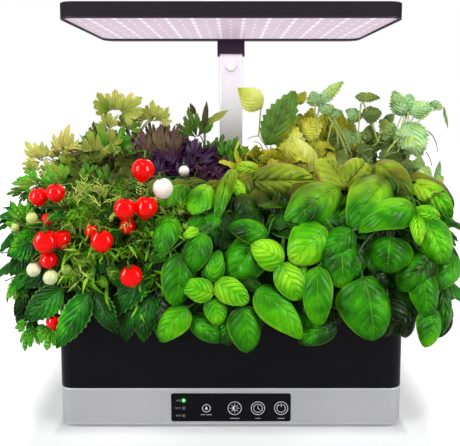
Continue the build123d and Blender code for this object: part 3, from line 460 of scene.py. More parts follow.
def pick(test, kind="VERT"):
    """Selects the vertices or faces of the mesh in edit mode that pass the test, and nothing else."""
    bpy.ops.mesh.select_mode(type=kind)
    bpy.ops.mesh.select_all(action="DESELECT")
    mesh = bmesh.from_edit_mesh(bpy.context.object.data)
    for item in mesh.verts if kind == "VERT" else mesh.faces:
        item.select_set(test(item.co if kind == "VERT" else item.calc_center_median()))
    if kind == "VERT":
        mesh.select_flush(True)
    bmesh.update_edit_mesh(bpy.context.object.data)


def apply_modifier(obj, kind, **settings):
    modifier = obj.modifiers.new(kind.lower(), kind)
    for key, value in settings.items():
        setattr(modifier, key, value)
    bpy.ops.object.modifier_apply(modifier=modifier.name)


def keep_place(obj):
    """Puts an object's place into its mesh."""
    obj.data.transform(obj.matrix_world)
    obj.matrix_world = Matrix.Identity(4)


def close_tube():
    """Fills the open ends of the tube in edit mode, turns its faces outwards, and leaves edit mode."""
    bpy.ops.mesh.select_all(action="SELECT")
    bpy.ops.mesh.fill_holes(sides=0)
    bpy.ops.mesh.select_all(action="SELECT")
    bpy.ops.mesh.normals_make_consistent(inside=False)
    edit(False)


def smooth_faces(obj, angle):
    select_only(obj)
    bpy.ops.object.shade_smooth_by_angle(angle=radians(angle))
    clear_selection()


def settle(obj, name, body, material):
    """Names a modelled piece, puts its place into its mesh, and lets it ride on its body."""
    obj.name = name
    obj.data.name = name
    keep_place(obj)
    obj.data.materials.clear()
    obj.data.materials.append(material)
    smooth_faces(obj, 35)
    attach(obj, body)
    return obj


# ================================================================ the panel's printed marks
INK_T = 0.0001
KEY_Z, KEY_RING_R, KEY_RING_LINE = 0.0251, 0.0081, 0.00068
# each key's place across the panel, and the length of its caption
KEYS = {"brightness": (0.0043, 0.0113), "timer": (0.0313, 0.0062), "power": (0.0583, 0.008)}
HOURS_X, HOURS_H = -0.0585, 0.0022
CAPTION_Z, CAPTION_H = 0.0127, 0.0009
WARNING_Z, WARNING_BARS = 0.0173, ((-0.0042, 0.0048), (0.0029, 0.0068))  # each bar's shift and length


def ink_at(x, z, node="control_panel"):
    """A place on the front of the panel or of a key."""
    return (x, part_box(node)[0].y - INK_T / 2, z)


def ink_disc(at, radius, hole=0.0, gap=0.0, half=False, drop=0.0):
    """A flat disc that faces forward: with a hole it is a ring, a gap opens the ring at its top,
    half keeps its left side, and drop draws its top out to a point."""
    clear_selection()
    bpy.ops.mesh.primitive_circle_add(vertices=48, radius=radius, fill_type="NGON", location=at,
                                      rotation=(pi / 2, 0, 0))
    edit(True)
    if drop:
        for height, share in ((0.2, 0.86), (0.5, 0.7), (0.8, 0.4)):
            pick(lambda co: co.y > height * radius)
            bpy.ops.transform.resize(value=(share, 1, 1), center_override=at)
            bpy.ops.transform.translate(value=(0, 0, drop / 3))
    if hole:
        bpy.ops.mesh.inset(thickness=radius - hole)
        bpy.ops.mesh.delete(type="FACE")
    if gap:
        pick(lambda co: co.y > 0 and abs(co.x) < gap, "FACE")
        bpy.ops.mesh.delete(type="FACE")
    if half:
        bpy.ops.mesh.select_all(action="SELECT")
        bpy.ops.mesh.bisect(plane_co=at, plane_no=(1, 0, 0), clear_outer=True)
    edit(False)
    return bpy.context.object


def ink_bar(at, length, height, turn=0.0, slide=0.0):
    """A flat round-ended bar, turned about at and then moved along itself by slide."""
    clear_selection()
    bpy.ops.mesh.primitive_plane_add(size=1, location=at, rotation=(pi / 2, turn, 0))
    bar = bpy.context.object
    bar.data.transform(Matrix.Translation((slide, 0, 0)) @ Matrix.Diagonal((length, height, 1, 1)))
    edit(True)
    bpy.ops.mesh.select_all(action="SELECT")
    bpy.ops.mesh.bevel(offset=height * 0.42, segments=3, affect="VERTICES")
    edit(False)
    return bar


def ink_text(at, words, height):
    """Plain numbers that end at a place."""
    clear_selection()
    bpy.ops.object.text_add(location=at, rotation=(pi / 2, 0, 0))
    text = bpy.context.object
    text.data.body = words
    text.data.size = height * 1.4
    text.data.align_x = "RIGHT"
    text.data.align_y = "CENTER"
    bpy.ops.object.convert(target="MESH")
    return bpy.context.object


def print_marks(name, marks, body, finish):
    """Joins flat marks into one thin piece of ink."""
    for mark in marks:
        keep_place(mark)
    select_only(*marks)
    bpy.ops.object.join()
    apply_modifier(bpy.context.object, "SOLIDIFY", thickness=INK_T, offset=0)
    settle(bpy.context.object, name, body, FINISHES[finish])


def key_sign(key, at):
    """The sign inside a key's ring: a half-filled sun, a clock or the power sign."""
    if key == "brightness":
        return [ink_disc(at, 0.003, hole=0.0026), ink_disc(at, 0.0028, half=True),
                *[ink_bar(at, 0.0016, 0.0007, turn * pi / 4, 0.0045) for turn in range(8)]]
    if key == "timer":
        return [ink_disc(at, 0.0053, hole=0.0047), ink_bar(at, 0.0034, 0.0006, -pi / 2, 0.0016),
                ink_bar(at, 0.003, 0.0006, pi / 4, 0.0013)]
    return [ink_disc(at, 0.0052, hole=0.0046, gap=0.0016), ink_bar(at, 0.004, 0.0008, -pi / 2, 0.0038)]


def panel_marks():
    """The light programmes' hours, bars for captions, a drop by the low-water lens, the keys' signs."""
    low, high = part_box("low_water_lens")
    lens_x = (low.x + high.x) / 2
    captions = [ink_text(ink_at(HOURS_X, height), hours, HOURS_H) for height, hours, *_ in MODES]
    bars = [(lens_x + shift, WARNING_Z, length) for shift, length in WARNING_BARS]
    bars += [(x, CAPTION_Z, length) for x, length in KEYS.values()]
    captions += [ink_bar(ink_at(x, z), length, CAPTION_H) for x, z, length in bars]
    print_marks("panel_captions", captions, "base", "faint_ink")

    drop = ink_disc(ink_at(lens_x, KEY_Z - 0.0004, "low_water_lens"), 0.0015, drop=0.0017)
    ring = ink_disc(ink_at(lens_x, KEY_Z), 0.0049, hole=0.0042)
    print_marks("low_water_marks", [drop, ring], "base", "print_ink")

    for key, (x, _) in KEYS.items():
        at = ink_at(x, KEY_Z, key + "_button")
        marks = [ink_disc(at, KEY_RING_R, hole=KEY_RING_R - KEY_RING_LINE), *key_sign(key, at)]
        print_marks(key + "_marks", marks, key + "_key", "print_ink")


# ================================================================ the lamp's cable, the button's spring
CABLE_X, CABLE_R = 0.0128, 0.0024
CABLE_LOW_Z, CABLE_BEND_R, CABLE_END_Y = 0.024, 0.015, 0.061
CABLE_STEP = 0.006  # the short straight piece at each end of the cable's rise
SPRING_R, SPRING_WIRE_R, SPRING_PITCH, SPRING_TURNS = 0.0042, 0.00045, 0.0021, 4.7


def lamp_cable():
    """A round jacket from the lamp's board down the mast, and one bend towards the power board."""
    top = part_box("lamp_cable")[1].z
    clear_selection()
    bpy.ops.mesh.primitive_circle_add(vertices=16, radius=CABLE_R, fill_type="NGON",
                                      location=(CABLE_X, MAST_Y, top))
    edit(True)
    for drop in (CABLE_STEP, top - CABLE_LOW_Z - CABLE_BEND_R - CABLE_STEP):
        bpy.ops.mesh.extrude_region_move(TRANSFORM_OT_translate={"value": (0, 0, -drop)})
    bpy.ops.mesh.spin(steps=8, angle=pi / 2, axis=(-1, 0, 0),
                      center=(CABLE_X, MAST_Y - CABLE_BEND_R, CABLE_LOW_Z + CABLE_BEND_R))
    bpy.ops.mesh.extrude_region_move(
        TRANSFORM_OT_translate={"value": (0, CABLE_END_Y - MAST_Y + CABLE_BEND_R, 0)})
    bpy.ops.mesh.select_all(action="SELECT")
    bpy.ops.mesh.remove_doubles(threshold=1e-6)
    close_tube()
    cable = settle(bpy.context.object, "lamp_wire", "base", FINISHES["cable_jacket"])
    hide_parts("lamp_cable")
    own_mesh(cable)


def release_spring():
    """A wire coil behind the release button, along the depth of the mast."""
    low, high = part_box("button_spring")
    clear_selection()
    bpy.ops.mesh.primitive_circle_add(vertices=8, radius=SPRING_WIRE_R, fill_type="NOTHING",
                                      location=(SPRING_R, 0, 0))
    coil = bpy.context.object
    keep_place(coil)
    apply_modifier(coil, "SCREW", axis="Y", angle=2 * pi * SPRING_TURNS, steps=90, render_steps=90,
                   screw_offset=SPRING_PITCH * SPRING_TURNS, use_merge_vertices=False)
    edit(True)
    close_tube()
    coil.data.transform(Matrix.Translation((0, low.y + SPRING_WIRE_R, (low.z + high.z) / 2)))
    coil = settle(coil, "release_spring", "lamp", FINISHES["zinc_steel"])
    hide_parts("button_spring")
    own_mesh(coil)


# ================================================================ leaf, stalk and fruit shapes
LEAF_T = 0.012  # a leaf's thickness, as a share of its length


class Shape:
    """The points, faces and UVs of one modelled shape, ready to be copied many times."""

    def __init__(self, obj):
        mesh = obj.data
        self.points = np.array([vertex.co for vertex in mesh.vertices])
        self.corners = np.array([loop.vertex_index for loop in mesh.loops])
        self.sizes = np.array([len(face.vertices) for face in mesh.polygons])
        self.uvs = np.array([corner.uv for corner in mesh.uv_layers.active.data])
        bpy.data.objects.remove(obj)


def swell(v, peak, fullness):
    """A leaf's half width at v along it, from 0 at the base to 0 at the tip, widest at peak."""
    stretch = np.log(0.5) / np.log(peak)
    return 0.5 * max(sin(pi * min(max(v, 0.0), 1.0) ** stretch), 0.0) ** fullness


def lay_grid(columns, rows):
    """A flat grid, 1 wide about the Y axis, that reaches from y 0 to y 1."""
    clear_selection()
    bpy.ops.mesh.primitive_grid_add(x_subdivisions=columns, y_subdivisions=rows, size=1)
    grid = bpy.context.object
    grid.data.transform(Matrix.Translation((0, 0.5, 0)))
    return grid


def blade(columns, rows, peak=0.42, fullness=0.7, tooth=0.0, pucker=0.0, veins=6.0, slant=0.3):
    """A simple leaf lying flat: base at the origin, tip at y 1, and its rows scaled to its outline.
    Teeth pull every second edge point outwards, and a pucker lifts the blade between its side veins."""
    leaf = lay_grid(columns, rows)
    edit(True)
    for row in range(rows + 1):
        v = row / rows
        pick(lambda co: abs(co.y - v) < 1e-4)
        width = max(2 * swell(v, peak, fullness), 0.03)
        bpy.ops.transform.resize(value=(width, 1, 1), center_override=(0, v, 0))
        if tooth and 0 < row < rows:
            half = width / 2
            pick(lambda co: abs(co.y - v) < 1e-4 and abs(abs(co.x) - half) < 1e-4)
            push = 1 + tooth if row % 2 else 1 - tooth
            bpy.ops.transform.resize(value=(push, 1, 1), center_override=(0, v, 0))
            if row % 2:
                bpy.ops.transform.translate(value=(0, tooth * 0.25, 0))
    edit(False)
    if pucker:
        for vertex in leaf.data.vertices:
            y = vertex.co.y
            half = max(swell(y, peak, fullness), 0.015)
            across = min(abs(vertex.co.x) / half, 1.0)
            wave = 0.5 - 0.5 * cos(2 * pi * veins * (y - slant * across * (0.7 + 0.5 * across)))
            ridge = min(across / (4 * (0.5 / columns)), 1.0) * (1 - across ** 3)
            vertex.co.z += pucker * wave * ridge
    apply_modifier(leaf, "SOLIDIFY", thickness=LEAF_T, offset=0)
    return Shape(leaf)


def fan(columns, rows, spread, lobes, gap, teeth, tooth, pucker=0.0):
    """A leaflet that opens like a hand from a narrow foot, with round lobes and a notched rim."""
    leaf = lay_grid(columns, rows)
    for vertex in leaf.data.vertices:
        across, v = vertex.co.x * 2, vertex.co.y
        lobe = abs(cos(pi * lobes * across / 2)) ** 0.45
        notch = 0.5 + 0.5 * cos(pi * teeth * across)
        rim = 1 - gap * (1 - lobe) - tooth * (1 - notch) - 0.22 * abs(across)
        reach = v * (1 + (rim - 1) * v)
        turn = across * spread * (0.55 + 0.45 * v)
        vertex.co = (sin(turn) * reach, cos(turn) * reach, pucker * lobe * v * (1 - v) * 4)
    wide = max(abs(vertex.co.x) for vertex in leaf.data.vertices)
    leaf.data.transform(Matrix.Diagonal((0.5 / wide, 1, 1, 1)))
    edit(True)
    bpy.ops.mesh.select_all(action="SELECT")
    bpy.ops.mesh.remove_doubles(threshold=1e-4)
    edit(False)
    apply_modifier(leaf, "SOLIDIFY", thickness=LEAF_T, offset=0)
    return Shape(leaf)


def stalk_shape(sides=5, steps=5):
    """A round stalk along Y from 0 to 1 with a radius of 1, closed at both ends."""
    clear_selection()
    bpy.ops.mesh.primitive_cylinder_add(vertices=sides, radius=1, depth=1, end_fill_type="TRIFAN")
    stalk = bpy.context.object
    stalk.data.transform(Matrix.Translation((0, 0.5, 0)) @ Matrix.Rotation(-pi / 2, 4, "X"))
    edit(True)
    for step in range(1, steps):
        bpy.ops.mesh.select_all(action="SELECT")
        bpy.ops.mesh.bisect(plane_co=(0, step / steps, 0), plane_no=(0, 1, 0))
    edit(False)
    return Shape(stalk)


def thread_shape():
    """One feathery spray of dill: a thin main rib with side threads that hook upwards."""
    rng = Random(11)
    # each rib: its start and end, its radius, and what share of the radius is left at its end
    ribs = [((0, 0, 0), (0, 1, 0), 0.036, 0.0)]
    for step in range(5):
        foot = 0.12 + 0.17 * step
        for side in (-1, 1):
            reach = 0.2 - 0.02 * step
            middle = (side * reach, foot + 0.12, rng.uniform(-0.12, 0.12))
            hook = (side * (reach + rng.uniform(-0.02, 0.16)), foot + 0.34, middle[2] * 2)
            ribs.append(((0, foot, 0), middle, 0.032, 0.6))
            ribs.append((middle, hook, 0.036, 0.0))
    clear_selection()
    threads = []
    for start, end, radius, taper in ribs:
        way = Vector(end) - Vector(start)
        bpy.ops.mesh.primitive_cone_add(
            vertices=3, radius1=radius, radius2=radius * taper, depth=way.length,
            location=(Vector(start) + Vector(end)) / 2, rotation=way.to_track_quat("Z", "Y").to_euler(),
        )
        keep_place(bpy.context.object)
        threads.append(bpy.context.object)
    select_only(*reversed(threads))
    bpy.ops.object.join()
    return Shape(bpy.context.object)


def fruit_shape():
    """A small plum-round tomato with its stem end up: radius 1, and drawn to a blunt point below."""
    clear_selection()
    bpy.ops.mesh.primitive_uv_sphere_add(segments=22, ring_count=14, radius=1)
    fruit = bpy.context.object
    edit(True)
    for height, share in ((-0.2, 0.98), (-0.42, 0.95), (-0.6, 0.92), (-0.78, 0.88), (-0.9, 0.8)):
        pick(lambda co: co.z < height)
        bpy.ops.transform.resize(value=(share, share, 1), center_override=(0, 0, 0))
    pick(lambda co: co.z < -0.85)
    bpy.ops.transform.translate(value=(0, 0, -0.07))
    pick(lambda co: co.z > 0.94)
    bpy.ops.transform.translate(value=(0, 0, -0.12))
    edit(False)
    return Shape(fruit)


STALK = stalk_shape()
THIN_STALK = stalk_shape(sides=3, steps=3)
BASIL_BIG = blade(12, 22, peak=0.40, fullness=0.58, pucker=0.02, veins=5.5, slant=0.34)
BASIL_YOUNG = blade(12, 22, peak=0.42, fullness=0.55, pucker=0.05, veins=5.5, slant=0.34)
BASIL_MIDDLE = blade(6, 10, peak=0.40, fullness=0.58, pucker=0.015, veins=5.0, slant=0.34)
BASIL_SMALL = blade(4, 6, peak=0.42, fullness=0.62)
TOMATO_LEAF = blade(8, 20, peak=0.38, fullness=0.95, tooth=0.07, pucker=0.03, veins=6.0, slant=0.42)
TOMATO_SMALL = blade(2, 8, peak=0.38, fullness=0.85, tooth=0.08)
MINT_LEAF = blade(8, 18, peak=0.40, fullness=0.72, tooth=0.10, pucker=0.03, veins=6.0, slant=0.5)
MINT_SMALL = blade(2, 8, peak=0.40, fullness=0.7, tooth=0.13)
NARROW_LEAF = blade(2, 4, peak=0.5, fullness=0.9)
FAN = fan(27, 5, spread=0.85, lobes=3, gap=0.3, teeth=9, tooth=0.06, pucker=0.06)
FAN_SMALL = fan(12, 2, spread=0.95, lobes=3, gap=0.4, teeth=6, tooth=0.045)
FRILL = fan(30, 4, spread=1.25, lobes=5, gap=0.24, teeth=15, tooth=0.07, pucker=0.02)
FRILL_SMALL = fan(15, 2, spread=1.15, lobes=5, gap=0.3, teeth=15, tooth=0.08)
DILL_SPRAY = thread_shape()
FRUIT = fruit_shape()
SEPAL = blade(2, 5, peak=0.35, fullness=0.9)


# ================================================================ plants
SPONGE_TOP = 0.147
STOUT_R = 0.0014  # stalks over this radius are rounder
FRONT_LIMIT, SIDE_LIMIT = cad_low.y - 0.002, cad_high.x + 0.004
PRESS = 0.4  # how much of what stands past those limits is left
OVERHANG_Y, OVERHANG_Z = -0.13, 0.16  # leaves further out and lower get their stalks over the rim
RIM_Y, RIM_Z = -0.15, 0.175
REAR_KEEP = 0.73  # how flat the lamp presses the rear plants at its lowest


def unit(vector):
    return vector / max(float(np.linalg.norm(vector)), 1e-9)


def units(rows):
    """The rows of an array, each at length 1."""
    return rows / np.maximum(np.linalg.norm(rows, axis=1, keepdims=True), 1e-9)


class Plant:
    """Collects one plant's leaves, stalks and stems, and joins them into one mesh."""

    def __init__(self, name, basket, seed):
        self.name = name
        low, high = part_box(f"basket_{basket}")
        self.pod = np.array([(low.x + high.x) / 2, (low.y + high.y) / 2, SPONGE_TOP])
        self.rng = Random(seed)
        self.parts = []
        self.branches = [self.pod + np.array([0, 0, 0.01])]

    def add(self, shape, points, tone, look):
        """Adds a piece, with what would stand far outside the crown's box pressed back towards it."""
        points = np.array(points)
        x, y = points[:, 0], points[:, 1]
        reach = np.abs(x)
        x[:] = np.sign(x) * np.where(reach > SIDE_LIMIT, SIDE_LIMIT + (reach - SIDE_LIMIT) * PRESS, reach)
        y[:] = np.where(y < FRONT_LIMIT, FRONT_LIMIT + (y - FRONT_LIMIT) * PRESS, y)
        self.parts.append((shape, points, tone, look))

    def stalk(self, start, middle, end, radius, tip_radius, tone=0.5, look=1):
        """A stalk that bends once, from start past middle to end."""
        start, middle, end = np.array(start), np.array(middle), np.array(end)
        shape = STALK if radius > STOUT_R else THIN_STALK
        local = shape.points
        t = local[:, 1:2]
        line = (1 - t) ** 2 * start + 2 * t * (1 - t) * middle + t ** 2 * end
        way = units(2 * (1 - t) * (middle - start) + 2 * t * (end - middle))
        reference = np.array([0.3, 0.2, 1.0]) if abs(way[0][2]) < 0.9 else np.array([1.0, 0.3, 0.1])
        side = units(np.cross(way, reference))
        other = np.cross(side, way)
        reach = radius + (tip_radius - radius) * t
        points = line + reach * (side * local[:, 0:1] + other * local[:, 2:3])
        self.add(shape, points, tone, look)

    def stem(self, path, radius):
        """A main stem or branch through the given points. Leaves can grow anywhere along it."""
        path = [np.array(point, float) for point in path]
        legs = len(path) - 1
        for leg in range(legs):
            start, end = path[leg], path[leg + 1]
            before = path[leg - 1] if leg else start - (end - start)
            middle = (start + end) / 2 + (start - before) * 0.12
            thick, thin = (radius * (1 - 0.6 * (passed / legs)) for passed in (leg, leg + 1))
            self.stalk(start, middle, end, thick, thin)
            self.branches += [start + (end - start) * t for t in (0.25, 0.5, 0.75, 1.0)]

    def attach(self, base, radius):
        """A leaf stalk from the nearest branch, where branches above the leaf count as further off."""
        near = min(self.branches, key=lambda point: (
            float(np.linalg.norm(point - base)) + 2.0 * max(point[2] - base[2] - 0.02, 0.0)))
        middle = near * 0.45 + base * 0.55
        middle[2] = max(near[2], base[2]) * 0.6 + middle[2] * 0.4 + 0.012
        if base[2] < OVERHANG_Z and base[1] < OVERHANG_Y:
            middle = np.array([base[0], min(base[1], RIM_Y), RIM_Z])
        self.stalk(near, middle, base, radius * 1.4, radius, tone=0.6)

    def leaf(self, shape, base, tip, width, facing=(0, -1, 0.4), arch=0.08, cup=0.15, twist=0.0, curl=0.0,
             tone=0.5, stalk=0.0009, wave=0.0, crease=0.0, look=0):
        """One leaf from base to tip. It faces a way, arches along it, cups across it, and may curl."""
        base, tip, facing = np.array(base, float), np.array(tip, float), np.array(facing, float)
        along = tip - base
        length = float(np.linalg.norm(along))
        ahead = along / length
        side = unit(np.cross(ahead, facing))
        out = np.cross(side, ahead)
        x, y, z = (shape.points[:, axis:axis + 1] for axis in range(3))
        turn = twist * (y - 0.3)
        side_now = side * np.cos(turn) + out * np.sin(turn)
        out_now = out * np.cos(turn) - side * np.sin(turn)
        lift = z * length + arch * length * 4 * y * (1 - y)
        lift = lift - cup * width * 4 * x ** 2 - curl * length * np.clip((y - 0.55) / 0.45, 0, 1) ** 2
        lift = lift + wave * width * np.sin(y * 17 + x * 3 + length * 900) * np.abs(x) * 2
        lift = lift + crease * width * np.minimum(np.abs(x) / 0.14, 1) * np.sin(np.pi * np.clip(y, 0, 1))
        points = base + ahead * (y * length) + side_now * (x * width) + out_now * lift
        self.add(shape, points, tone, look)
        if stalk:
            self.attach(base + ahead * length * 0.01, stalk)

    def free_leaf(self, *given, **settings):
        """A leaf that is taken back, with its stalk, if it would stand in another part's way."""
        before = len(self.parts)
        self.leaf(*given, **settings)
        free = not any(blocked(points) for _, points, _, _ in self.parts[before:])
        if not free:
            del self.parts[before:]
        return free

    def leaflets(self, shape, base, tip, width, facing, spread=0.85, **more):
        """A compound leaf: three leaflets spread from the end of one stalk, the middle one longest."""
        base, tip = np.array(base, float), np.array(tip, float)
        ahead = tip - base
        side = unit(np.cross(ahead, np.array(facing, float))) * float(np.linalg.norm(ahead))
        for off in (-1, 0, 1):
            share = 1 - 0.2 * abs(off) - self.rng.uniform(0, 0.1)
            turn = spread * off + self.rng.uniform(-0.12, 0.12)
            way = (ahead * cos(turn) + side * sin(turn)) * share
            self.leaf(shape, base + way * 0.04, base + way, width * share, facing,
                      stalk=0 if off else 0.0009, **more)

    def finish(self, looks, slot, node, squash=None):
        """Joins the pieces into one mesh that rides on the deck in place of its CAD node."""
        shapes, places, tones, kinds = zip(*self.parts)
        point_counts = [len(points) for points in places]
        first_points = np.cumsum([0] + point_counts[:-1])
        corners = np.concatenate([shape.corners + first for shape, first in zip(shapes, first_points)])
        sizes = np.concatenate([shape.sizes for shape in shapes])
        starts = np.concatenate([[0], np.cumsum(sizes)[:-1]])
        face_kinds = np.repeat(kinds, [len(shape.sizes) for shape in shapes])
        mesh = bpy.data.meshes.new(self.name)
        mesh.vertices.add(sum(point_counts))
        mesh.vertices.foreach_set("co", np.concatenate(places).ravel())
        mesh.loops.add(len(corners))
        mesh.loops.foreach_set("vertex_index", corners.astype(np.int32))
        mesh.polygons.add(len(starts))
        mesh.polygons.foreach_set("loop_start", starts.astype(np.int32))
        mesh.polygons.foreach_set("material_index", face_kinds.astype(np.int32))
        uvs = np.concatenate([shape.uvs for shape in shapes])
        mesh.uv_layers.new(name="leaf").data.foreach_set("uv", uvs.ravel())
        point_tones = np.repeat(np.array(tones, float), point_counts)
        mesh.attributes.new("tone", "FLOAT", "POINT").data.foreach_set("value", point_tones)
        mesh.update(calc_edges=True)
        plant = bpy.data.objects.new(self.name, mesh)
        bpy.context.scene.collection.objects.link(plant)
        for look in looks:
            mesh.materials.append(look)
        smooth_faces(plant, 50)
        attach(plant, "deck")
        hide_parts(node)
        if squash:
            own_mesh(plant)


# ================================================================ leaf materials
# colours that multiply a leaf for its painted shade: at its foot, along its edges and in the quilting's
# valleys
FOOT_SHADE = (0.25, 0.36, 0.3, 1.0)
EDGE_SHADE = (0.16, 0.3, 0.16, 1.0)
VALLEY_SHADE = (0.2, 0.34, 0.2, 1.0)
RIPENESS = [
    (0.0, 96, 140, 30), (0.3, 190, 206, 120), (0.5, 234, 224, 214), (0.9, 238, 36, 2), (1.0, 240, 3, 0),
]


def leaf_look(name, stops, vein_colour, veins=6.0, slant=0.3, vein=0.2, quilt=0.5, gloss=0.45, tops=None,
              mottle=0.4, patch=0.9, rim=0.3, painted_quilt_shading=0.12, young=1.0, radial=False, specular=0.045,
              foot=0.45, painted_edge_shade=0.0):
    """A leaf: its colour by its tone, fine veins, a quilted blade, painted shade at its foot and, when
    asked, along its edges, a tint on high leaves, and a pale rim, a painted highlight. The quilting's
    valleys get painted shade, more so above the tone young, and its crests a painted highlight. Radial
    veins follow a fan's lobes."""
    look = Look(name, roughness=gloss, specular=specular)
    pale = srgb(*vein_colour)
    u, v, _ = look.axes(look.node("ShaderNodeUVMap", {"uv_map": "leaf"}, {}))
    tone = look.node("ShaderNodeAttribute", {"attribute_name": "tone"}, {}, output="Fac")
    across = abs(u - 0.5) * 2
    cloud = look.noise(70.0, 3.0)
    broad = look.noise(26.0, 2.0)
    midrib = 1 - look.smooth(across, 0.012, 0.05)
    if radial:
        phase = across * 1.5 + (cloud - 0.5) * 0.3
    else:
        phase = (v - across * slant * (0.7 + across * 0.5)) * veins + (cloud - 0.5) * 0.4
    saw = look.maths("PINGPONG", phase, 0.5) * 2
    side_vein = (1 - look.smooth(saw, 0.02, 0.2)) * (1 - look.smooth(across, 0.5, 1.0))
    lines = look.maths("MAXIMUM", midrib, side_vein * 0.6)
    lit = 0.3 + look.smooth(tone, 0.1, 0.5) * 0.7
    colour = look.ramp(tone + (cloud - 0.5) * mottle + (broad - 0.5) * patch, stops)
    # painted shade: darker towards the leaf's foot
    colour = look.mix((1 - look.smooth(v, 0.0, 0.45)) * foot, colour, FOOT_SHADE, "MULTIPLY")
    # painted shade: darker towards the rim and the tip
    if painted_edge_shade:
        painted_shade_outer_mask = look.maths("MAXIMUM", look.smooth(across, 0.4, 0.98), look.smooth(v, 0.72, 1.0))
        colour = look.mix(painted_shade_outer_mask * painted_edge_shade, colour, EDGE_SHADE, "MULTIPLY")
    # painted shade in the quilting's valleys, stronger on young leaves
    deep = painted_quilt_shading + look.smooth(tone, young - 0.04, young + 0.02) * 0.25
    painted_valley_shade = (1 - look.smooth(saw, 0.0, 0.6)) * deep * (0.4 + cloud * 1.2)
    colour = look.mix(painted_valley_shade, colour, VALLEY_SHADE, "MULTIPLY")
    # painted highlight on the quilting's crests, away from the midrib and the rim
    inside = look.smooth(across, 0.05, 0.3) * (1 - look.smooth(across, 0.7, 1.0))
    painted_crest_highlight = look.smooth(saw, 0.4, 1.0) * inside
    colour = look.mix(painted_crest_highlight * painted_quilt_shading * 0.35, colour, pale)
    colour = look.mix(lines * lit * vein, colour, pale)
    # painted highlight: a pale rim along the blade's edge
    colour = look.mix(look.smooth(across, 0.88, 0.98) * lit * rim, colour, pale)
    if tops:
        low, high, share, tint = tops
        height = look.axes(look.place())[2] + (broad - 0.5) * 0.06
        colour = look.mix(look.smooth(height, low, high) * share, colour, srgb(*tint))
    return look.feed(
        base_color=colour,
        roughness=gloss - 0.08 + cloud * 0.16 + lines * 0.1,
        normal=look.bump(saw * quilt - lines, 0.8, 0.0014),
    )


def stem_look(name, low, high):
    look = Look(name, roughness=0.6, specular=0.1)
    fibre = look.noise(260.0, 2.0)
    colour = look.mix(fibre, srgb(*low), srgb(*high))
    return look.feed(base_color=colour, normal=look.bump(fibre, 0.3, 0.0002))


def fruit_look():
    """Tomato skin: glossy and finely flecked, and coloured by its ripeness."""
    look = Look("tomato_skin", roughness=0.1, specular=0.1)
    tone = look.node("ShaderNodeAttribute", {"attribute_name": "tone"}, {}, output="Fac")
    cloud = look.noise(60.0, 3.0)
    ripe = look.ramp(tone + (cloud - 0.5) * 0.05, RIPENESS)
    fleck = look.noise(900.0, 1.0)
    shine = 0.07 + cloud * 0.06
    return look.feed(base_color=ripe, roughness=shine, normal=look.bump(fleck, 0.05, 0.0001))


# ================================================================ growing
MARGIN = 0.002
BODY_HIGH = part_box("water_tank")[1]
DECK_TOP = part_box("grow_deck")[1].z
# the low and high corners of what leaves keep clear of: the base, the mast, the filler lid and the float
KEEP_CLEAR = (
    ((-BODY_HIGH.x - MARGIN, -BODY_HIGH.y - MARGIN, -1),
     (BODY_HIGH.x + MARGIN, BODY_HIGH.y + MARGIN, DECK_TOP + MARGIN)),
    ((-0.026, 0.090, -1), (0.026, 0.130, 1)),
    ((0.080, 0.080, -1), (0.144, 1, 0.190)),
    ((-0.172, 0.094, -1), (-0.160, 0.106, 0.190)),
)
BUSH_Y, BUSH_TOP, BUSH_LEFT, BUSH_RIGHT = -0.168, 0.292, -0.2, 0.19
BUSH_TOP_DROP, BUSH_END_RUN = 0.075, 0.08
DOWN = np.array([0, 0, -1.0])


def blocked(points):
    """True if any of the points is where the leaves keep clear."""
    return any(((points > low) & (points < high)).all(axis=1).any() for low, high in KEEP_CLEAR)


def bush_front(x, z):
    """How far forward the basil's leaves come at (x, z). They fall back near the bush's top and ends."""
    rise = max((z - (BUSH_TOP - BUSH_TOP_DROP)) / BUSH_TOP_DROP, 0.0)
    end = max((x - BUSH_RIGHT) / BUSH_END_RUN, (BUSH_LEFT - x) / BUSH_END_RUN, 0.0)
    return BUSH_Y + 0.075 * min(rise, 1.4) ** 2 + 0.05 * min(end, 1.2) ** 2


def seen(px, py, behind):
    """The point that shows at a pixel of the front view, so far (metres) behind the basil's front."""
    y = BUSH_Y
    for attempt in range(6):
        point = spot(px, py, y)
        y = bush_front(point.x, point.z) + behind
    return np.array(spot(px, py, y))


def grow_branches(plant, xs, ys, top, count, radius=0.0026, bottom=0.175):
    """A main stem from the pod's sponge and branches that reach out towards the crown's surface."""
    rng = plant.rng
    middle = np.array([sum(xs) / 2, sum(ys) / 2, 0])
    knee = plant.pod + np.array([0, 0, 0.045])
    head = np.array([middle[0], middle[1], top - 0.02])
    sway = np.array([rng.uniform(-0.006, 0.006), 0, 0])
    plant.stem([plant.pod, knee, (knee + head) / 2 + sway, head], radius)
    reach_x, reach_y = (xs[1] - xs[0]) / 2, (ys[1] - ys[0]) / 2
    for number in range(count):
        start = knee + (head - knee) * (number / count)
        turn = number * 2.4 + rng.uniform(-0.3, 0.3)
        end = middle + np.array([reach_x * cos(turn) * 0.8, reach_y * sin(turn) * 0.8, 0])
        end[2] = min(max(start[2] + rng.uniform(-0.01, 0.06), bottom), top - 0.015)
        bend = (start + end) / 2 + np.array([0, 0, 0.015])
        plant.stem([start, bend, end], radius * 0.6)


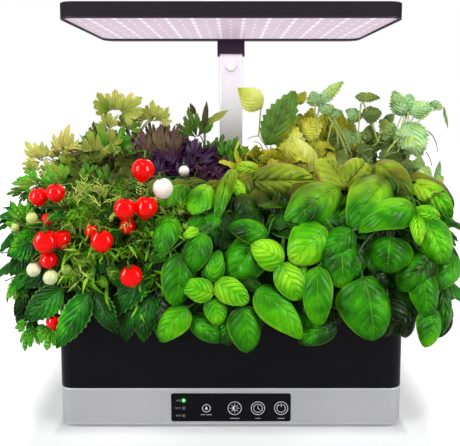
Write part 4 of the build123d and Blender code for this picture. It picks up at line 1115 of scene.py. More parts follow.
def fill_crown(plant, shape, low, high, count, size, shape_width, tones, cup=(0.1, 0.25), droop=0.7,
               inner=0.55, wave=0.0):
    """Leaves all over and inside a crown of the given box, hanging more the further out they are, and
    darker the further in they are, a painted shade.
    """
    rng = plant.rng
    low, high = np.array(low), np.array(high)
    centre, half = (low + high) / 2, (high - low) / 2
    made, tries = 0, 0
    while made < count and tries < count * 12:
        tries += 1
        way = unit(np.array([rng.gauss(0, 1), rng.gauss(0, 1), rng.gauss(0.15, 0.9)]))
        boxy = np.sign(way) * np.abs(way) ** 0.55
        depth = rng.uniform(inner, 1.0)
        base = centre + half * boxy * depth * 0.86
        out = unit(way / half)
        random_way = np.array([rng.gauss(0, 1), rng.gauss(0, 1), rng.gauss(0, 1)])
        if abs(out[2]) < 0.95:
            hang = unit(DOWN - out * float(DOWN @ out))
        else:
            hang = unit(random_way * (1, 1, 0))
        ahead = unit(hang * droop + out * 0.45 + unit(random_way) * 0.5)
        length = rng.uniform(*size)
        facing = unit(out + np.array([0, 0, 0.35]) + unit(random_way) * 0.25)
        # the tone is partly at random and partly painted shade: leaves deeper inside are darker
        chance_and_painted_depth_shade = 0.35 * rng.random() + 0.65 * (depth - inner) / (1 - inner + 1e-6)
        tone = tones[0] + (tones[1] - tones[0]) * chance_and_painted_depth_shade
        made += plant.free_leaf(
            shape, base, base + ahead * length, length * shape_width * rng.uniform(0.85, 1.15), facing,
            arch=rng.uniform(0.05, 0.18), cup=rng.uniform(*cup), twist=rng.uniform(-0.4, 0.4),
            curl=rng.uniform(0.0, 0.1), tone=tone, stalk=0.0008, wave=wave)


def fill_all(plant, fills):
    """Fills a crown from rows of fill_crown's values, each with a dictionary of other settings last."""
    for *given, settings in fills:
        fill_crown(plant, *given, **settings)


def second_layer(plant, columns, rows):
    """Basil leaves that hang close behind the front ones, on a loose grid of the front view's pixels.
    Their dark tones are painted shade.
    """
    rng = plant.rng
    for px in range(*columns, SECOND_STEP_PX):
        for py in range(*rows, SECOND_STEP_PX):
            at = seen(px + rng.uniform(-6, 6), py + rng.uniform(-6, 6), rng.uniform(*SECOND_BEHIND) * MM)
            turn = rng.gauss(0, 0.8)
            length = rng.uniform(*SECOND_SIZE)
            way = np.array([sin(turn), rng.uniform(-0.3, 0.1), -cos(turn)])
            facing = (rng.uniform(-0.4, 0.4), -1, rng.uniform(0.1, 0.9))
            plant.free_leaf(
                BASIL_MIDDLE, at - way * length * 0.4, at + way * length * 0.6,
                length * rng.uniform(0.62, 0.8), facing, arch=rng.uniform(0.12, 0.25),
                cup=rng.uniform(0.2, 0.4), twist=rng.uniform(-0.3, 0.3), curl=rng.uniform(0.0, 0.2),
                tone=rng.uniform(*SECOND_PAINTED_SHADE_TONES), crease=0.03)


def hero(plant, shape, rows, width_share=1.1, look=0, compound=False, **more):
    """Leaves placed by the front view: base and tip pixels, width in pixels, depth in mm, and tone."""
    rng = plant.rng
    grow = plant.leaflets if compound else plant.leaf
    for bx, by, tx, ty, width, depth, tone in rows:
        base = np.array(spot(bx, by, depth * MM))
        tip = np.array(spot(tx, ty, (depth - rng.uniform(0, 8)) * MM))
        settings = {
            "facing": (rng.uniform(-0.3, 0.3), -1, rng.uniform(0.1, 0.6)),
            "arch": rng.uniform(0.04, 0.12),
            "cup": rng.uniform(0.05, 0.2),
            "twist": rng.uniform(-0.3, 0.3),
            "curl": rng.uniform(0.0, 0.12),
            **more,
        }
        grow(shape, base, tip, width * width_share / per_metre(base[1]), tone=tone, look=look, **settings)


def sprigs(plant, rows, radius=0.0009, look=1):
    """Bare stalks placed by the front view: start, middle and end pixels, depth in mm, and tone."""
    for *pixels, depth, tone in rows:
        start, middle, end = (spot(px, py, depth * MM) for px, py in zip(pixels[::2], pixels[1::2]))
        plant.stalk(start, middle, end, radius, radius * 0.7, tone, look)


def add_fruit(plant, px, py, radius_px, depth, tone):
    """A tomato at a pixel of the front view, with its dry star of sepals and a stalk from the plant."""
    rng = plant.rng
    centre = np.array(spot(px, py, depth * MM))
    radius = radius_px / per_metre(centre[1])
    up = unit(np.array([rng.uniform(-0.2, 0.2), rng.uniform(-0.35, 0.1), 1.0]))
    side = unit(np.cross(up, (0, 1, 0)))
    other = np.cross(up, side)
    local = FRUIT.points
    if tone < 0.6:
        local = local / np.linalg.norm(local, axis=1, keepdims=True)  # an unripe fruit is still a ball
    points = centre + radius * (side * local[:, 0:1] + other * local[:, 1:2] + up * local[:, 2:3] * 1.04)
    plant.add(FRUIT, points, tone, 2)
    crown = centre + up * radius * 0.92
    for number in range(5):
        turn = 2 * pi * number / 5 + rng.uniform(-0.2, 0.2)
        way = side * cos(turn) + other * sin(turn)
        tip = crown + way * radius * 0.5 + up * radius * rng.uniform(0.1, 0.4)
        plant.leaf(SEPAL, crown, tip, radius * 0.2, facing=up, arch=0.1, cup=0.1, curl=-0.2, stalk=0)
    bend = crown + up * radius * 0.8
    near = min(plant.branches, key=lambda point: float(np.linalg.norm(point - bend)))
    if np.linalg.norm(near - bend) > 0.05:
        near = centre + np.array([0.004, 0.012, -0.03])
    plant.stalk(near, (near + bend) / 2 + np.array([0, 0, 0.008]), bend, 0.001, 0.001, tone=0.2)
    plant.stalk(bend, bend - up * radius * 0.2, crown - up * radius * 0.1, 0.0011, 0.0011, tone=0.3)


# ================================================================ where the leaves and the fruit are
# basil: base and tip in the front view's pixels, width in pixels, mm behind the bush's front, and tone;
# shade is painted into the tones, so leaves that sit in shade are darker
BASIL_LEAVES = [
    (186, 187, 162, 206, 21, 6, 0.66), (208, 187, 193, 213, 27, 4, 0.72),
    (233, 172, 217, 215, 14, 2, 0.54), (232, 180, 242, 197, 15, 10, 0.77),
    (258, 171, 235, 167, 14, 6, 0.92), (336, 190, 290, 222, 40, 4, 0.5),
    (324, 230, 292, 260, 38, 0, 0.76), (169, 217, 161, 252, 25, 4, 0.68),
    (166, 254, 152, 261, 9, 2, 0.62), (198, 230, 184, 237, 10, 2, 0.95),
    (203, 235, 189, 272, 25, 0, 0.56), (203, 220, 221, 225, 16, 14, 0.46),
    (266, 235, 231, 227, 23, 3, 0.42), (257, 242, 230, 281, 38, 6, 0.5),
    (281, 263, 254, 245, 27, -4, 0.88), (281, 266, 299, 299, 26, -4, 0.84),
    (210, 284, 218, 254, 20, 2, 0.62), (212, 294, 184, 286, 22, -5, 0.92),
    (217, 284, 247, 302, 24, -6, 0.9), (212, 299, 220, 325, 20, -2, 0.72),
    (181, 256, 175, 304, 31, 4, 0.58), (186, 309, 160, 339, 26, 0, 0.6),
    (193, 318, 221, 341, 21, 5, 0.42), (243, 309, 249, 352, 31, -3, 0.52),
    (260, 291, 300, 336, 33, -4, 0.58), (262, 289, 243, 279, 13, 3, 0.32),
    (384, 181, 352, 222, 38, 2, 0.57), (412, 207, 364, 225, 30, -4, 0.69),
    (378, 165, 409, 193, 26, 12, 0.39), (414, 184, 452, 214, 22, 4, 0.86),
    (411, 178, 452, 205, 26, 14, 0.17), (439, 218, 416, 210, 16, -6, 0.9),
    (416, 215, 419, 243, 13, -6, 0.84), (427, 222, 443, 262, 33, -3, 0.69),
    (390, 238, 387, 271, 42, 2, 0.41), (430, 254, 402, 288, 32, 8, 0.45),
    (351, 231, 324, 254, 24, 4, 0.49), (340, 240, 341, 286, 41, 2, 0.57),
    (356, 258, 355, 282, 14, 8, 0.47), (318, 270, 318, 326, 27, -4, 0.66),
    (363, 281, 374, 338, 50, -2, 0.49), (454, 256, 434, 288, 25, 4, 0.57),
    (422, 275, 428, 316, 26, 0, 0.59), (442, 288, 438, 335, 18, 8, 0.39),
    (433, 310, 426, 346, 24, -2, 0.67), (334, 325, 300, 341, 21, 8, 0.28),
    (301, 266, 302, 298, 14, 3, 0.58), (400, 300, 408, 338, 22, 16, 0.23),
    (390, 302, 384, 336, 18, 18, 0.21), (230, 318, 226, 345, 20, 8, 0.4),
    (320, 212, 348, 232, 22, 22, 0.17), (246, 214, 262, 226, 16, 20, 0.14),
    (276, 196, 292, 214, 16, 18, 0.3),
]
# the high leaves that turn golden, with reddish rims
GOLDEN_LEAVES = [
    (256, 181, 311, 180, 30, 8, 0.36), (343, 188, 320, 161, 31, 10, 0.48),
    (345, 188, 364, 162, 27, 12, 0.52),
]
# the second layer's dark tones are painted shade behind the front leaves
SECOND_STEP_PX, SECOND_BEHIND, SECOND_SIZE, SECOND_PAINTED_SHADE_TONES = 17, (16, 34), (0.034, 0.05), (0.04, 0.3)
SPLIT_PX = 318  # the basil leaves left of this belong to the left plant
# centre pixel, radius in pixels, depth in millimetres and ripeness, from green 0 over pale 0.5 to red 1
TOMATOES = [
    (38.5, 197, 9.5, -150, 1.0), (55.6, 193, 9.6, -156, 1.0), (143, 170, 11.7, -146, 1.0),
    (124.7, 209, 11.2, -166, 1.0), (146, 207.6, 11.8, -158, 1.0), (128, 226, 8.6, -150, 0.97),
    (47.5, 219, 6, -150, 0.95), (45.5, 242, 11.9, -168, 1.0), (61.8, 239.4, 9.8, -156, 1.0),
    (48.6, 260.3, 9, -160, 1.0), (92.5, 231, 8, -150, 0.95), (102, 241.5, 11.4, -168, 1.0),
    (131.4, 276.5, 11.4, -168, 1.0), (54.3, 321.5, 8.4, -160, 1.0), (180, 202, 6, -120, 1.0),
    (190, 213, 7, -124, 1.0), (163, 188.5, 10.3, -150, 0.5), (31.8, 218, 5.8, -158, 0.28),
    (33.7, 269.5, 7.2, -162, 0.42), (50.6, 277.5, 7.5, -164, 0.36), (66, 269.4, 5.5, -158, 0.1),
    (15.4, 227, 4.3, -150, 0.3), (184, 171, 5.4, -60, 0.5),
]
# all other leaves: base and tip pixels, width in pixels, depth in millimetres and tone
TOMATO_LEAVES = [
    (63, 289, 24, 321, 30, -160, 0.4), (90, 292, 56, 349, 28, -166, 0.44),
    (95, 291, 117, 335, 21, -162, 0.36), (150, 268, 112, 318, 28, -148, 0.34),
    (150, 292, 142, 344, 26, -152, 0.36), (136, 296, 124, 343, 24, -150, 0.3),
    (30, 287, 14, 316, 13, -140, 0.22), (32, 240, 7, 256, 27, -138, 0.5),
    (60, 262, 22, 288, 24, -146, 0.3), (116, 282, 98, 312, 18, -140, 0.28),
    (160, 256, 146, 290, 20, -146, 0.44), (74, 300, 82, 330, 18, -150, 0.3),
    (166, 300, 160, 342, 22, -148, 0.42), (28, 252, 10, 276, 20, -130, 0.4),
    (34, 318, 30, 340, 12, -146, 0.2), (112, 255, 92, 276, 16, -146, 0.42),
    (130, 300, 150, 336, 20, -144, 0.3), (140, 196, 146, 220, 18, -118, 0.42),
    (160, 176, 170, 200, 18, -100, 0.4), (26, 284, 20, 296, 12, -142, 0.3),
    (62, 272, 48, 300, 24, -136, 0.16), (70, 270, 66, 300, 22, -134, 0.12),
    (44, 232, 30, 262, 22, -130, 0.14), (24, 300, 20, 330, 14, -132, 0.2),
]
TOMATO_SIDE_LEAVES = [
    (28, 224, 9, 200, 16, -126, 0.8), (26, 228, 4, 216, 13, -124, 0.74),
    (24, 284, 6, 302, 16, -138, 0.84), (32, 322, 22, 352, 15, -148, 0.8),
    (52, 324, 46, 352, 20, -158, 0.76), (34, 300, 16, 318, 14, -130, 0.5),
    (38, 232, 16, 240, 17, -136, 0.72), (28, 246, 5, 254, 18, -140, 0.76),
    (22, 262, 7, 274, 14, -134, 0.7), (40, 200, 24, 190, 13, -130, 0.66),
    (66, 322, 62, 346, 12, -150, 0.5),
]
DILL_BLADES = [
    (124, 243, 121, 260, 5, -150, 0.53), (97, 275, 108, 288, 9, -152, 0.51),
    (112, 261, 118, 290, 10, -150, 0.41), (70, 250, 81, 281, 6, -150, 0.43),
    (84, 246, 97, 268, 6, -150, 0.45), (78, 288, 66, 262, 6, -152, 0.41),
    (91, 292, 93, 262, 5, -152, 0.38), (105, 262, 96, 249, 5, -150, 0.5),
    (130, 252, 141, 236, 5, -148, 0.47), (141, 247, 151, 231, 5, -148, 0.5),
    (60, 262, 75, 244, 6, -150, 0.43), (68, 240, 75, 262, 5, -150, 0.37),
    (101, 289, 83, 281, 5, -154, 0.47), (146, 262, 136, 248, 5, -146, 0.43),
    (118, 262, 108, 250, 5, -150, 0.43), (80, 262, 90, 248, 5, -150, 0.53),
    (152, 250, 160, 264, 6, -146, 0.45), (60, 284, 72, 272, 6, -152, 0.37),
]
PARSLEY_LEAVES = [
    (110, 112, 98, 91, 18, 30, 0.7), (115, 111, 118, 88, 18, 34, 0.86), (122, 114, 141, 95, 26, 30, 0.8),
    (153, 122, 154, 97, 16, 36, 0.84), (147, 120, 138, 107, 10, 36, 0.74),
    (158, 121, 171, 107, 12, 34, 0.82), (106, 152, 103, 120, 26, 30, 0.6),
    (98, 160, 87, 128, 20, 26, 0.74), (116, 154, 124, 122, 22, 34, 0.56),
    (110, 130, 103, 106, 12, 36, 0.78), (128, 130, 132, 108, 18, 40, 0.7),
    (92, 150, 85, 130, 12, 36, 0.5), (64, 154, 69, 124, 16, 32, 0.98), (60, 158, 55, 140, 10, 30, 0.92),
    (71, 153, 78, 137, 10, 30, 0.86), (83, 160, 83, 142, 9, 30, 0.62), (42, 162, 22, 142, 14, 10, 0.88),
    (44, 158, 42, 139, 10, 14, 0.84), (34, 172, 26, 158, 11, 0, 0.66), (66, 182, 40, 168, 18, -20, 0.58),
    (40, 184, 7, 186, 15, -60, 0.58), (30, 188, 4, 193, 9, -64, 0.42), (58, 186, 30, 180, 14, -50, 0.58),
    (80, 186, 62, 164, 22, 0, 0.54), (92, 184, 86, 160, 22, 10, 0.5), (108, 188, 104, 162, 22, 0, 0.47),
    (124, 190, 118, 166, 20, -6, 0.42), (74, 174, 56, 156, 18, 20, 0.62),
    (126, 178, 128, 152, 18, 20, 0.14), (118, 176, 112, 150, 18, 24, 0.3),
    (96, 172, 92, 146, 20, 30, 0.62), (140, 164, 142, 138, 16, 34, 0.4),
    (52, 176, 44, 158, 14, 10, 0.72), (90, 166, 96, 140, 16, 40, 0.12),
    (104, 168, 110, 140, 18, 42, 0.16), (120, 160, 120, 132, 18, 46, 0.14),
    (98, 142, 92, 120, 12, 44, 0.36), (134, 158, 134, 126, 18, 44, 0.34),
    (76, 166, 72, 148, 14, 36, 0.4),
]
PURPLE_LEAVES = [
    (140, 172, 128, 138, 20, 30, 0.46), (150, 166, 144, 126, 24, 34, 0.46),
    (162, 164, 158, 122, 24, 34, 0.4), (176, 166, 176, 126, 22, 36, 0.34),
    (190, 172, 192, 134, 22, 34, 0.22), (204, 174, 212, 140, 20, 30, 0.22),
    (218, 178, 230, 150, 18, 26, 0.26), (134, 186, 122, 158, 18, 14, 0.36),
    (148, 190, 140, 158, 20, 8, 0.2), (164, 190, 158, 154, 22, 6, 0.16),
    (180, 192, 184, 156, 22, 4, 0.16), (198, 190, 204, 160, 20, 6, 0.18),
    (212, 190, 226, 164, 18, 4, 0.22), (170, 178, 170, 146, 22, 20, 0.2),
    (190, 182, 190, 148, 20, 20, 0.14), (154, 146, 148, 118, 14, 44, 0.58),
    (172, 146, 180, 120, 14, 44, 0.5), (136, 154, 128, 124, 16, 40, 0.56),
    (166, 142, 164, 116, 14, 46, 0.54), (184, 156, 186, 128, 16, 42, 0.3),
    (144, 160, 136, 132, 18, 46, 0.2),
]
GREY_LEAVES = [
    (197, 138, 190, 104, 16, 44, 0.46), (226, 160, 238, 134, 14, 30, 0.5),
    (236, 166, 248, 142, 13, 22, 0.56), (214, 156, 226, 134, 12, 36, 0.46),
    (204, 160, 214, 138, 12, 40, 0.4),
]
GREY_BLADES = [
    (203, 132, 207, 101, 6, 42, 0.3), (206, 124, 228, 110, 7, 42, 0.72),
    (204, 134, 213, 123, 6, 42, 0.5), (196, 116, 190, 103, 5, 42, 0.3),
]
MUSTARD_LEAVES = [
    (266, 145, 295, 91, 29, 34, 0.26), (330, 164, 318, 142, 28, 16, 0.54),
    (300, 136, 322, 120, 22, 40, 0.66), (296, 170, 290, 122, 26, 42, 0.72),
    (258, 180, 235, 164, 20, -4, 0.6), (280, 176, 262, 150, 28, 24, 0.62),
    (286, 184, 270, 160, 24, 2, 0.7), (312, 150, 304, 116, 24, 46, 0.66),
    (342, 160, 352, 134, 24, 40, 0.5), (262, 184, 246, 160, 26, 12, 0.55),
    (300, 186, 288, 164, 24, -2, 0.78), (296, 104, 306, 92, 10, 32, 0.6),
    (288, 108, 296, 116, 8, 32, 0.66), (252, 172, 244, 146, 14, 30, 0.5),
    (336, 176, 330, 152, 22, 14, 0.66), (300, 152, 296, 124, 20, 50, 0.62),
    (316, 150, 318, 120, 20, 50, 0.64), (334, 152, 334, 124, 20, 50, 0.62),
    (346, 154, 354, 128, 18, 48, 0.58), (290, 158, 280, 132, 18, 50, 0.6),
    (308, 160, 312, 134, 22, 44, 0.6), (320, 140, 325, 112, 20, 52, 0.56),
    (336, 142, 341, 113, 20, 52, 0.52), (308, 132, 312, 108, 16, 54, 0.64),
    (328, 130, 332, 106, 14, 50, 0.46), (346, 142, 350, 118, 16, 52, 0.4),
    (300, 140, 300, 114, 18, 56, 0.58),
]
YOUNG_MUSTARD = [
    (311, 176, 292, 140, 28, 6, 0.84), (318, 190, 334, 170, 20, -30, 0.72),
    (308, 186, 292, 168, 18, -20, 0.76),
]
PALE_MUSTARD = [
    (262, 108, 238, 88, 23, 40, 0.97),
]
MINT_LEAVES = [
    (317, 106, 312, 92, 15, 30, 0.7), (318, 104, 343, 81, 12, 28, 0.7),
    (318, 110, 334, 106, 10, 26, 0.62), (324, 114, 343, 112, 11, 28, 0.34),
    (355, 97, 380, 98, 10, 26, 0.4), (362, 118, 346, 110, 15, 30, 0.42),
    (362, 116, 382, 112, 17, 28, 0.38), (404, 116, 394, 91, 17, 30, 0.6),
    (406, 116, 410, 94, 18, 32, 0.58), (410, 114, 433, 104, 17, 24, 0.6),
    (407, 122, 420, 157, 28, 16, 0.58), (404, 126, 404, 144, 14, 20, 0.54),
    (397, 140, 380, 120, 18, 34, 0.48), (430, 103, 447, 108, 9, 20, 0.52),
    (445, 107, 458, 128, 8, 10, 0.46), (420, 188, 428, 166, 16, 0, 0.62),
    (432, 190, 443, 176, 13, -10, 0.62), (436, 184, 440, 161, 6, 0, 0.56),
    (374, 166, 360, 144, 24, 24, 0.22), (388, 168, 402, 148, 24, 26, 0.2),
    (396, 172, 384, 146, 26, 16, 0.16), (352, 150, 340, 128, 20, 36, 0.4),
    (370, 180, 356, 158, 26, 6, 0.28), (404, 180, 410, 160, 22, 8, 0.26),
    (340, 152, 330, 132, 18, 44, 0.46), (394, 156, 408, 136, 16, 40, 0.36),
    (366, 142, 372, 124, 12, 40, 0.34), (384, 124, 394, 114, 9, 36, 0.3),
    (362, 152, 352, 130, 20, 46, 0.32), (376, 152, 372, 130, 18, 46, 0.3),
    (390, 152, 388, 128, 18, 46, 0.34), (408, 160, 400, 136, 18, 42, 0.3),
    (356, 160, 346, 140, 18, 40, 0.22), (416, 176, 420, 156, 14, 14, 0.4),
]
# bare stalks: start, middle and end pixels, depth in millimetres and tone
TRUSSES = [
    (14, 223, 34, 231, 74, 226, -150, 0.1), (5, 281, 24, 270, 56, 267, -150, 0.1),
    (34, 283, 42, 278, 50, 268, -154, 0.3), (119, 289, 120, 304, 122, 318, -150, 1.0),
    (126, 287, 127, 298, 128, 309, -150, 1.0), (62, 292, 78, 286, 96, 291, -154, 0.9),
    (70, 226, 100, 214, 128, 200, -140, 0.5), (160, 186, 150, 210, 132, 230, -130, 0.4),
    (1, 253, 10, 252, 22, 248, -130, 0.2), (88, 228, 84, 250, 92, 292, -140, 0.7),
    (110, 228, 118, 262, 112, 292, -142, 0.7),
]
HERB_STALKS = [
    (315, 104, 314, 124, 320, 146, 28, 1.0), (333, 119, 330, 130, 327, 144, 26, 0.9),
    (334, 119, 338, 130, 338, 144, 26, 1.0), (335, 120, 346, 138, 352, 156, 24, 0.8),
    (361, 103, 359, 120, 358, 142, 26, 0.8), (408, 112, 409, 118, 407, 125, 22, 0.9),
    (398, 138, 384, 152, 374, 178, 14, 1.0), (396, 156, 402, 142, 408, 124, 20, 0.7),
    (318, 98, 322, 110, 314, 124, 30, 0.9),
]
PURPLE_STALKS = [
    (186, 161, 204, 148, 226, 160, 20, 0.8), (178, 186, 190, 178, 186, 166, -20, 0.6),
    (190, 186, 196, 178, 198, 162, -20, 0.5), (200, 184, 206, 180, 214, 182, -20, 0.5),
]
DRY_STALKS = [
    (428, 131, 436, 136, 438, 152, 10, 0.0), (406, 162, 416, 164, 420, 168, 10, 0.1),
    (404, 128, 412, 146, 420, 160, 20, 0.2), (426, 152, 430, 156, 432, 166, 6, 0.1),
]
# fills: the shape, the low and high corners of the box, how many, their size, width share and tones
DILL_FILLS = [
    (DILL_SPRAY, (-0.21, -0.15, 0.165), (-0.035, -0.05, 0.278), 260, (0.018, 0.032), 0.9, (0.45, 1.0),
     {"droop": 0.0, "inner": 0.9}),
    (DILL_SPRAY, (-0.2, -0.152, 0.185), (-0.045, -0.115, 0.27), 130, (0.012, 0.022), 0.8, (0.2, 0.9),
     {"droop": 0.0, "inner": 0.9}),
    # dark sprays inside the plant: painted shade
    (DILL_SPRAY, (-0.2, -0.15, 0.16), (-0.05, -0.05, 0.265), 110, (0.022, 0.036), 1.0, (0.0, 0.3),
     {"droop": 0.0, "inner": 0.6}),
    (NARROW_LEAF, (-0.19, -0.158, 0.145), (-0.045, -0.03, 0.25), 460, (0.018, 0.036), 0.13, (0.1, 0.8),
     {"droop": 0.2, "inner": 0.8}),
    (NARROW_LEAF, (-0.197, -0.16, 0.178), (-0.045, -0.12, 0.24), 270, (0.013, 0.026), 0.14, (0.35, 0.8),
     {"droop": 0.0, "inner": 0.9}),
    # near-black small leaves among and behind the threads: painted shade
    (TOMATO_SMALL, (-0.19, -0.145, 0.13), (-0.04, 0.0, 0.262), 230, (0.03, 0.05), 0.5, (0.0, 0.12),
     {"inner": 0.4}),
]
REAR_FILL = {"droop": 0.1, "cup": (0.0, 0.15), "inner": 0.4}
# the basil's fill leaves inside the bush take dark tones: painted shade
BASIL_FILL = {"size": (0.028, 0.048), "shape_width": 0.72, "tones": (0.0, 0.3), "cup": (0.15, 0.35),
              "inner": 0.35}


def basil_plants():
    blade_look = leaf_look(
        "basil_leaf",
        [(0.0, 1, 8, 1), (0.3, 8, 60, 0), (0.55, 40, 136, 0), (0.78, 86, 184, 2), (1.0, 146, 222, 28)],
        (150, 215, 40), veins=5.5, slant=0.34, vein=0.25, gloss=0.4, young=0.78, painted_quilt_shading=0.07, specular=0.05,
        mottle=0.45, patch=1.3, painted_edge_shade=0.4, tops=(0.258, 0.31, 0.5, (160, 156, 40)))
    golden_look = leaf_look(
        "golden_leaf", [(0.0, 70, 84, 20), (0.4, 118, 142, 26), (0.7, 164, 188, 44), (1.0, 210, 216, 90)],
        (166, 104, 70), veins=5.5, slant=0.34, vein=0.4, gloss=0.4, rim=0.8, young=0.6)
    stem = stem_look("basil_stem", (22, 62, 6), (58, 116, 20))
    left = Plant("basil_left", 3, 21)
    right = Plant("basil_right", 4, 22)
    grow_branches(left, (-0.02, 0.10), (-0.15, -0.02), 0.285, 12)
    grow_branches(right, (0.11, 0.26), (-0.15, -0.02), 0.285, 12)
    for look, leaves in ((0, BASIL_LEAVES), (2, GOLDEN_LEAVES)):
        for bx, by, tx, ty, width, behind, tone in leaves:
            reach_x, reach_y = (tx - bx) * 0.06, (ty - by) * 0.06
            base = seen(bx - reach_x, by - reach_y, behind * MM)
            tip = seen(tx + reach_x, ty + reach_y, behind * MM - 0.004)
            plant = left if (bx + tx) / 2 < SPLIT_PX else right
            rng = plant.rng
            facing = (rng.uniform(-0.3, 0.3), -1, rng.uniform(0.2, 0.8))
            young = tone > 0.78 or look == 2
            shape, cups = (BASIL_YOUNG, (0.18, 0.28)) if young else (BASIL_BIG, (0.32, 0.5))
            plant.leaf(
                shape, base, tip, width * 1.17 / per_metre(base[1]), facing, arch=rng.uniform(0.12, 0.22),
                cup=rng.uniform(*cups), twist=rng.uniform(-0.35, 0.35), curl=rng.uniform(0.0, 0.2),
                tone=tone, stalk=0.0011, crease=rng.uniform(0.05, 0.1), look=look)
    second_layer(left, (162, SPLIT_PX), (192, 330))
    second_layer(right, (SPLIT_PX, 452), (190, 330))
    fill_crown(left, BASIL_SMALL, (-0.035, -0.145, 0.135), (0.11, -0.03, 0.28), 260, **BASIL_FILL)
    fill_crown(right, BASIL_SMALL, (0.10, -0.145, 0.135), (0.262, -0.03, 0.28), 330, **BASIL_FILL)
    for plant in (left, right):
        plant.finish([blade_look, stem, golden_look], "basil_foliage", plant.name.replace("_", "_plant_"))


def tomato_and_dill():
    blade_look = leaf_look(
        "tomato_leaf",
        [(0.0, 1, 14, 2), (0.3, 0, 62, 3), (0.5, 6, 112, 4), (0.7, 62, 172, 10), (1.0, 136, 200, 48)],
        (150, 212, 96), slant=0.42, vein=0.35, mottle=0.7, quilt=1.0, rim=0.45)
    threads = leaf_look(
        "dill_thread", [(0.0, 1, 14, 1), (0.3, 16, 98, 3), (0.6, 134, 214, 26), (1.0, 254, 255, 140)],
        (190, 216, 100), vein=0.3, gloss=0.5, mottle=0.5, foot=0.3, painted_quilt_shading=0.0)
    stem = stem_look("tomato_stem", (16, 42, 12), (120, 160, 56))

    tomato = Plant("tomato", 1, 31)
    grow_branches(tomato, (-0.26, -0.14), (-0.15, -0.02), 0.275, 12)
    for row in TOMATOES:
        add_fruit(tomato, *row)
    hero(tomato, TOMATO_LEAF, TOMATO_LEAVES, width_share=1.05, arch=0.12, cup=0.22, crease=0.04)
    hero(tomato, FAN, TOMATO_SIDE_LEAVES, compound=True, spread=0.8)
    sprigs(tomato, TRUSSES)
    fill_crown(tomato, TOMATO_SMALL, (-0.268, -0.15, 0.14), (-0.135, 0.0, 0.275), 270, (0.024, 0.044),
               shape_width=0.55, tones=(0.0, 0.5), inner=0.4)
    tomato.finish([blade_look, stem, fruit_look()], "tomato_foliage", "tomato_plant")

    dill = Plant("dill", 2, 32)
    grow_branches(dill, (-0.19, -0.03), (-0.14, -0.02), 0.28, 14, radius=0.0018)
    hero(dill, NARROW_LEAF, DILL_BLADES)
    fill_all(dill, DILL_FILLS)
    dill.finish([threads, stem], "dill_foliage", "dill_plant")


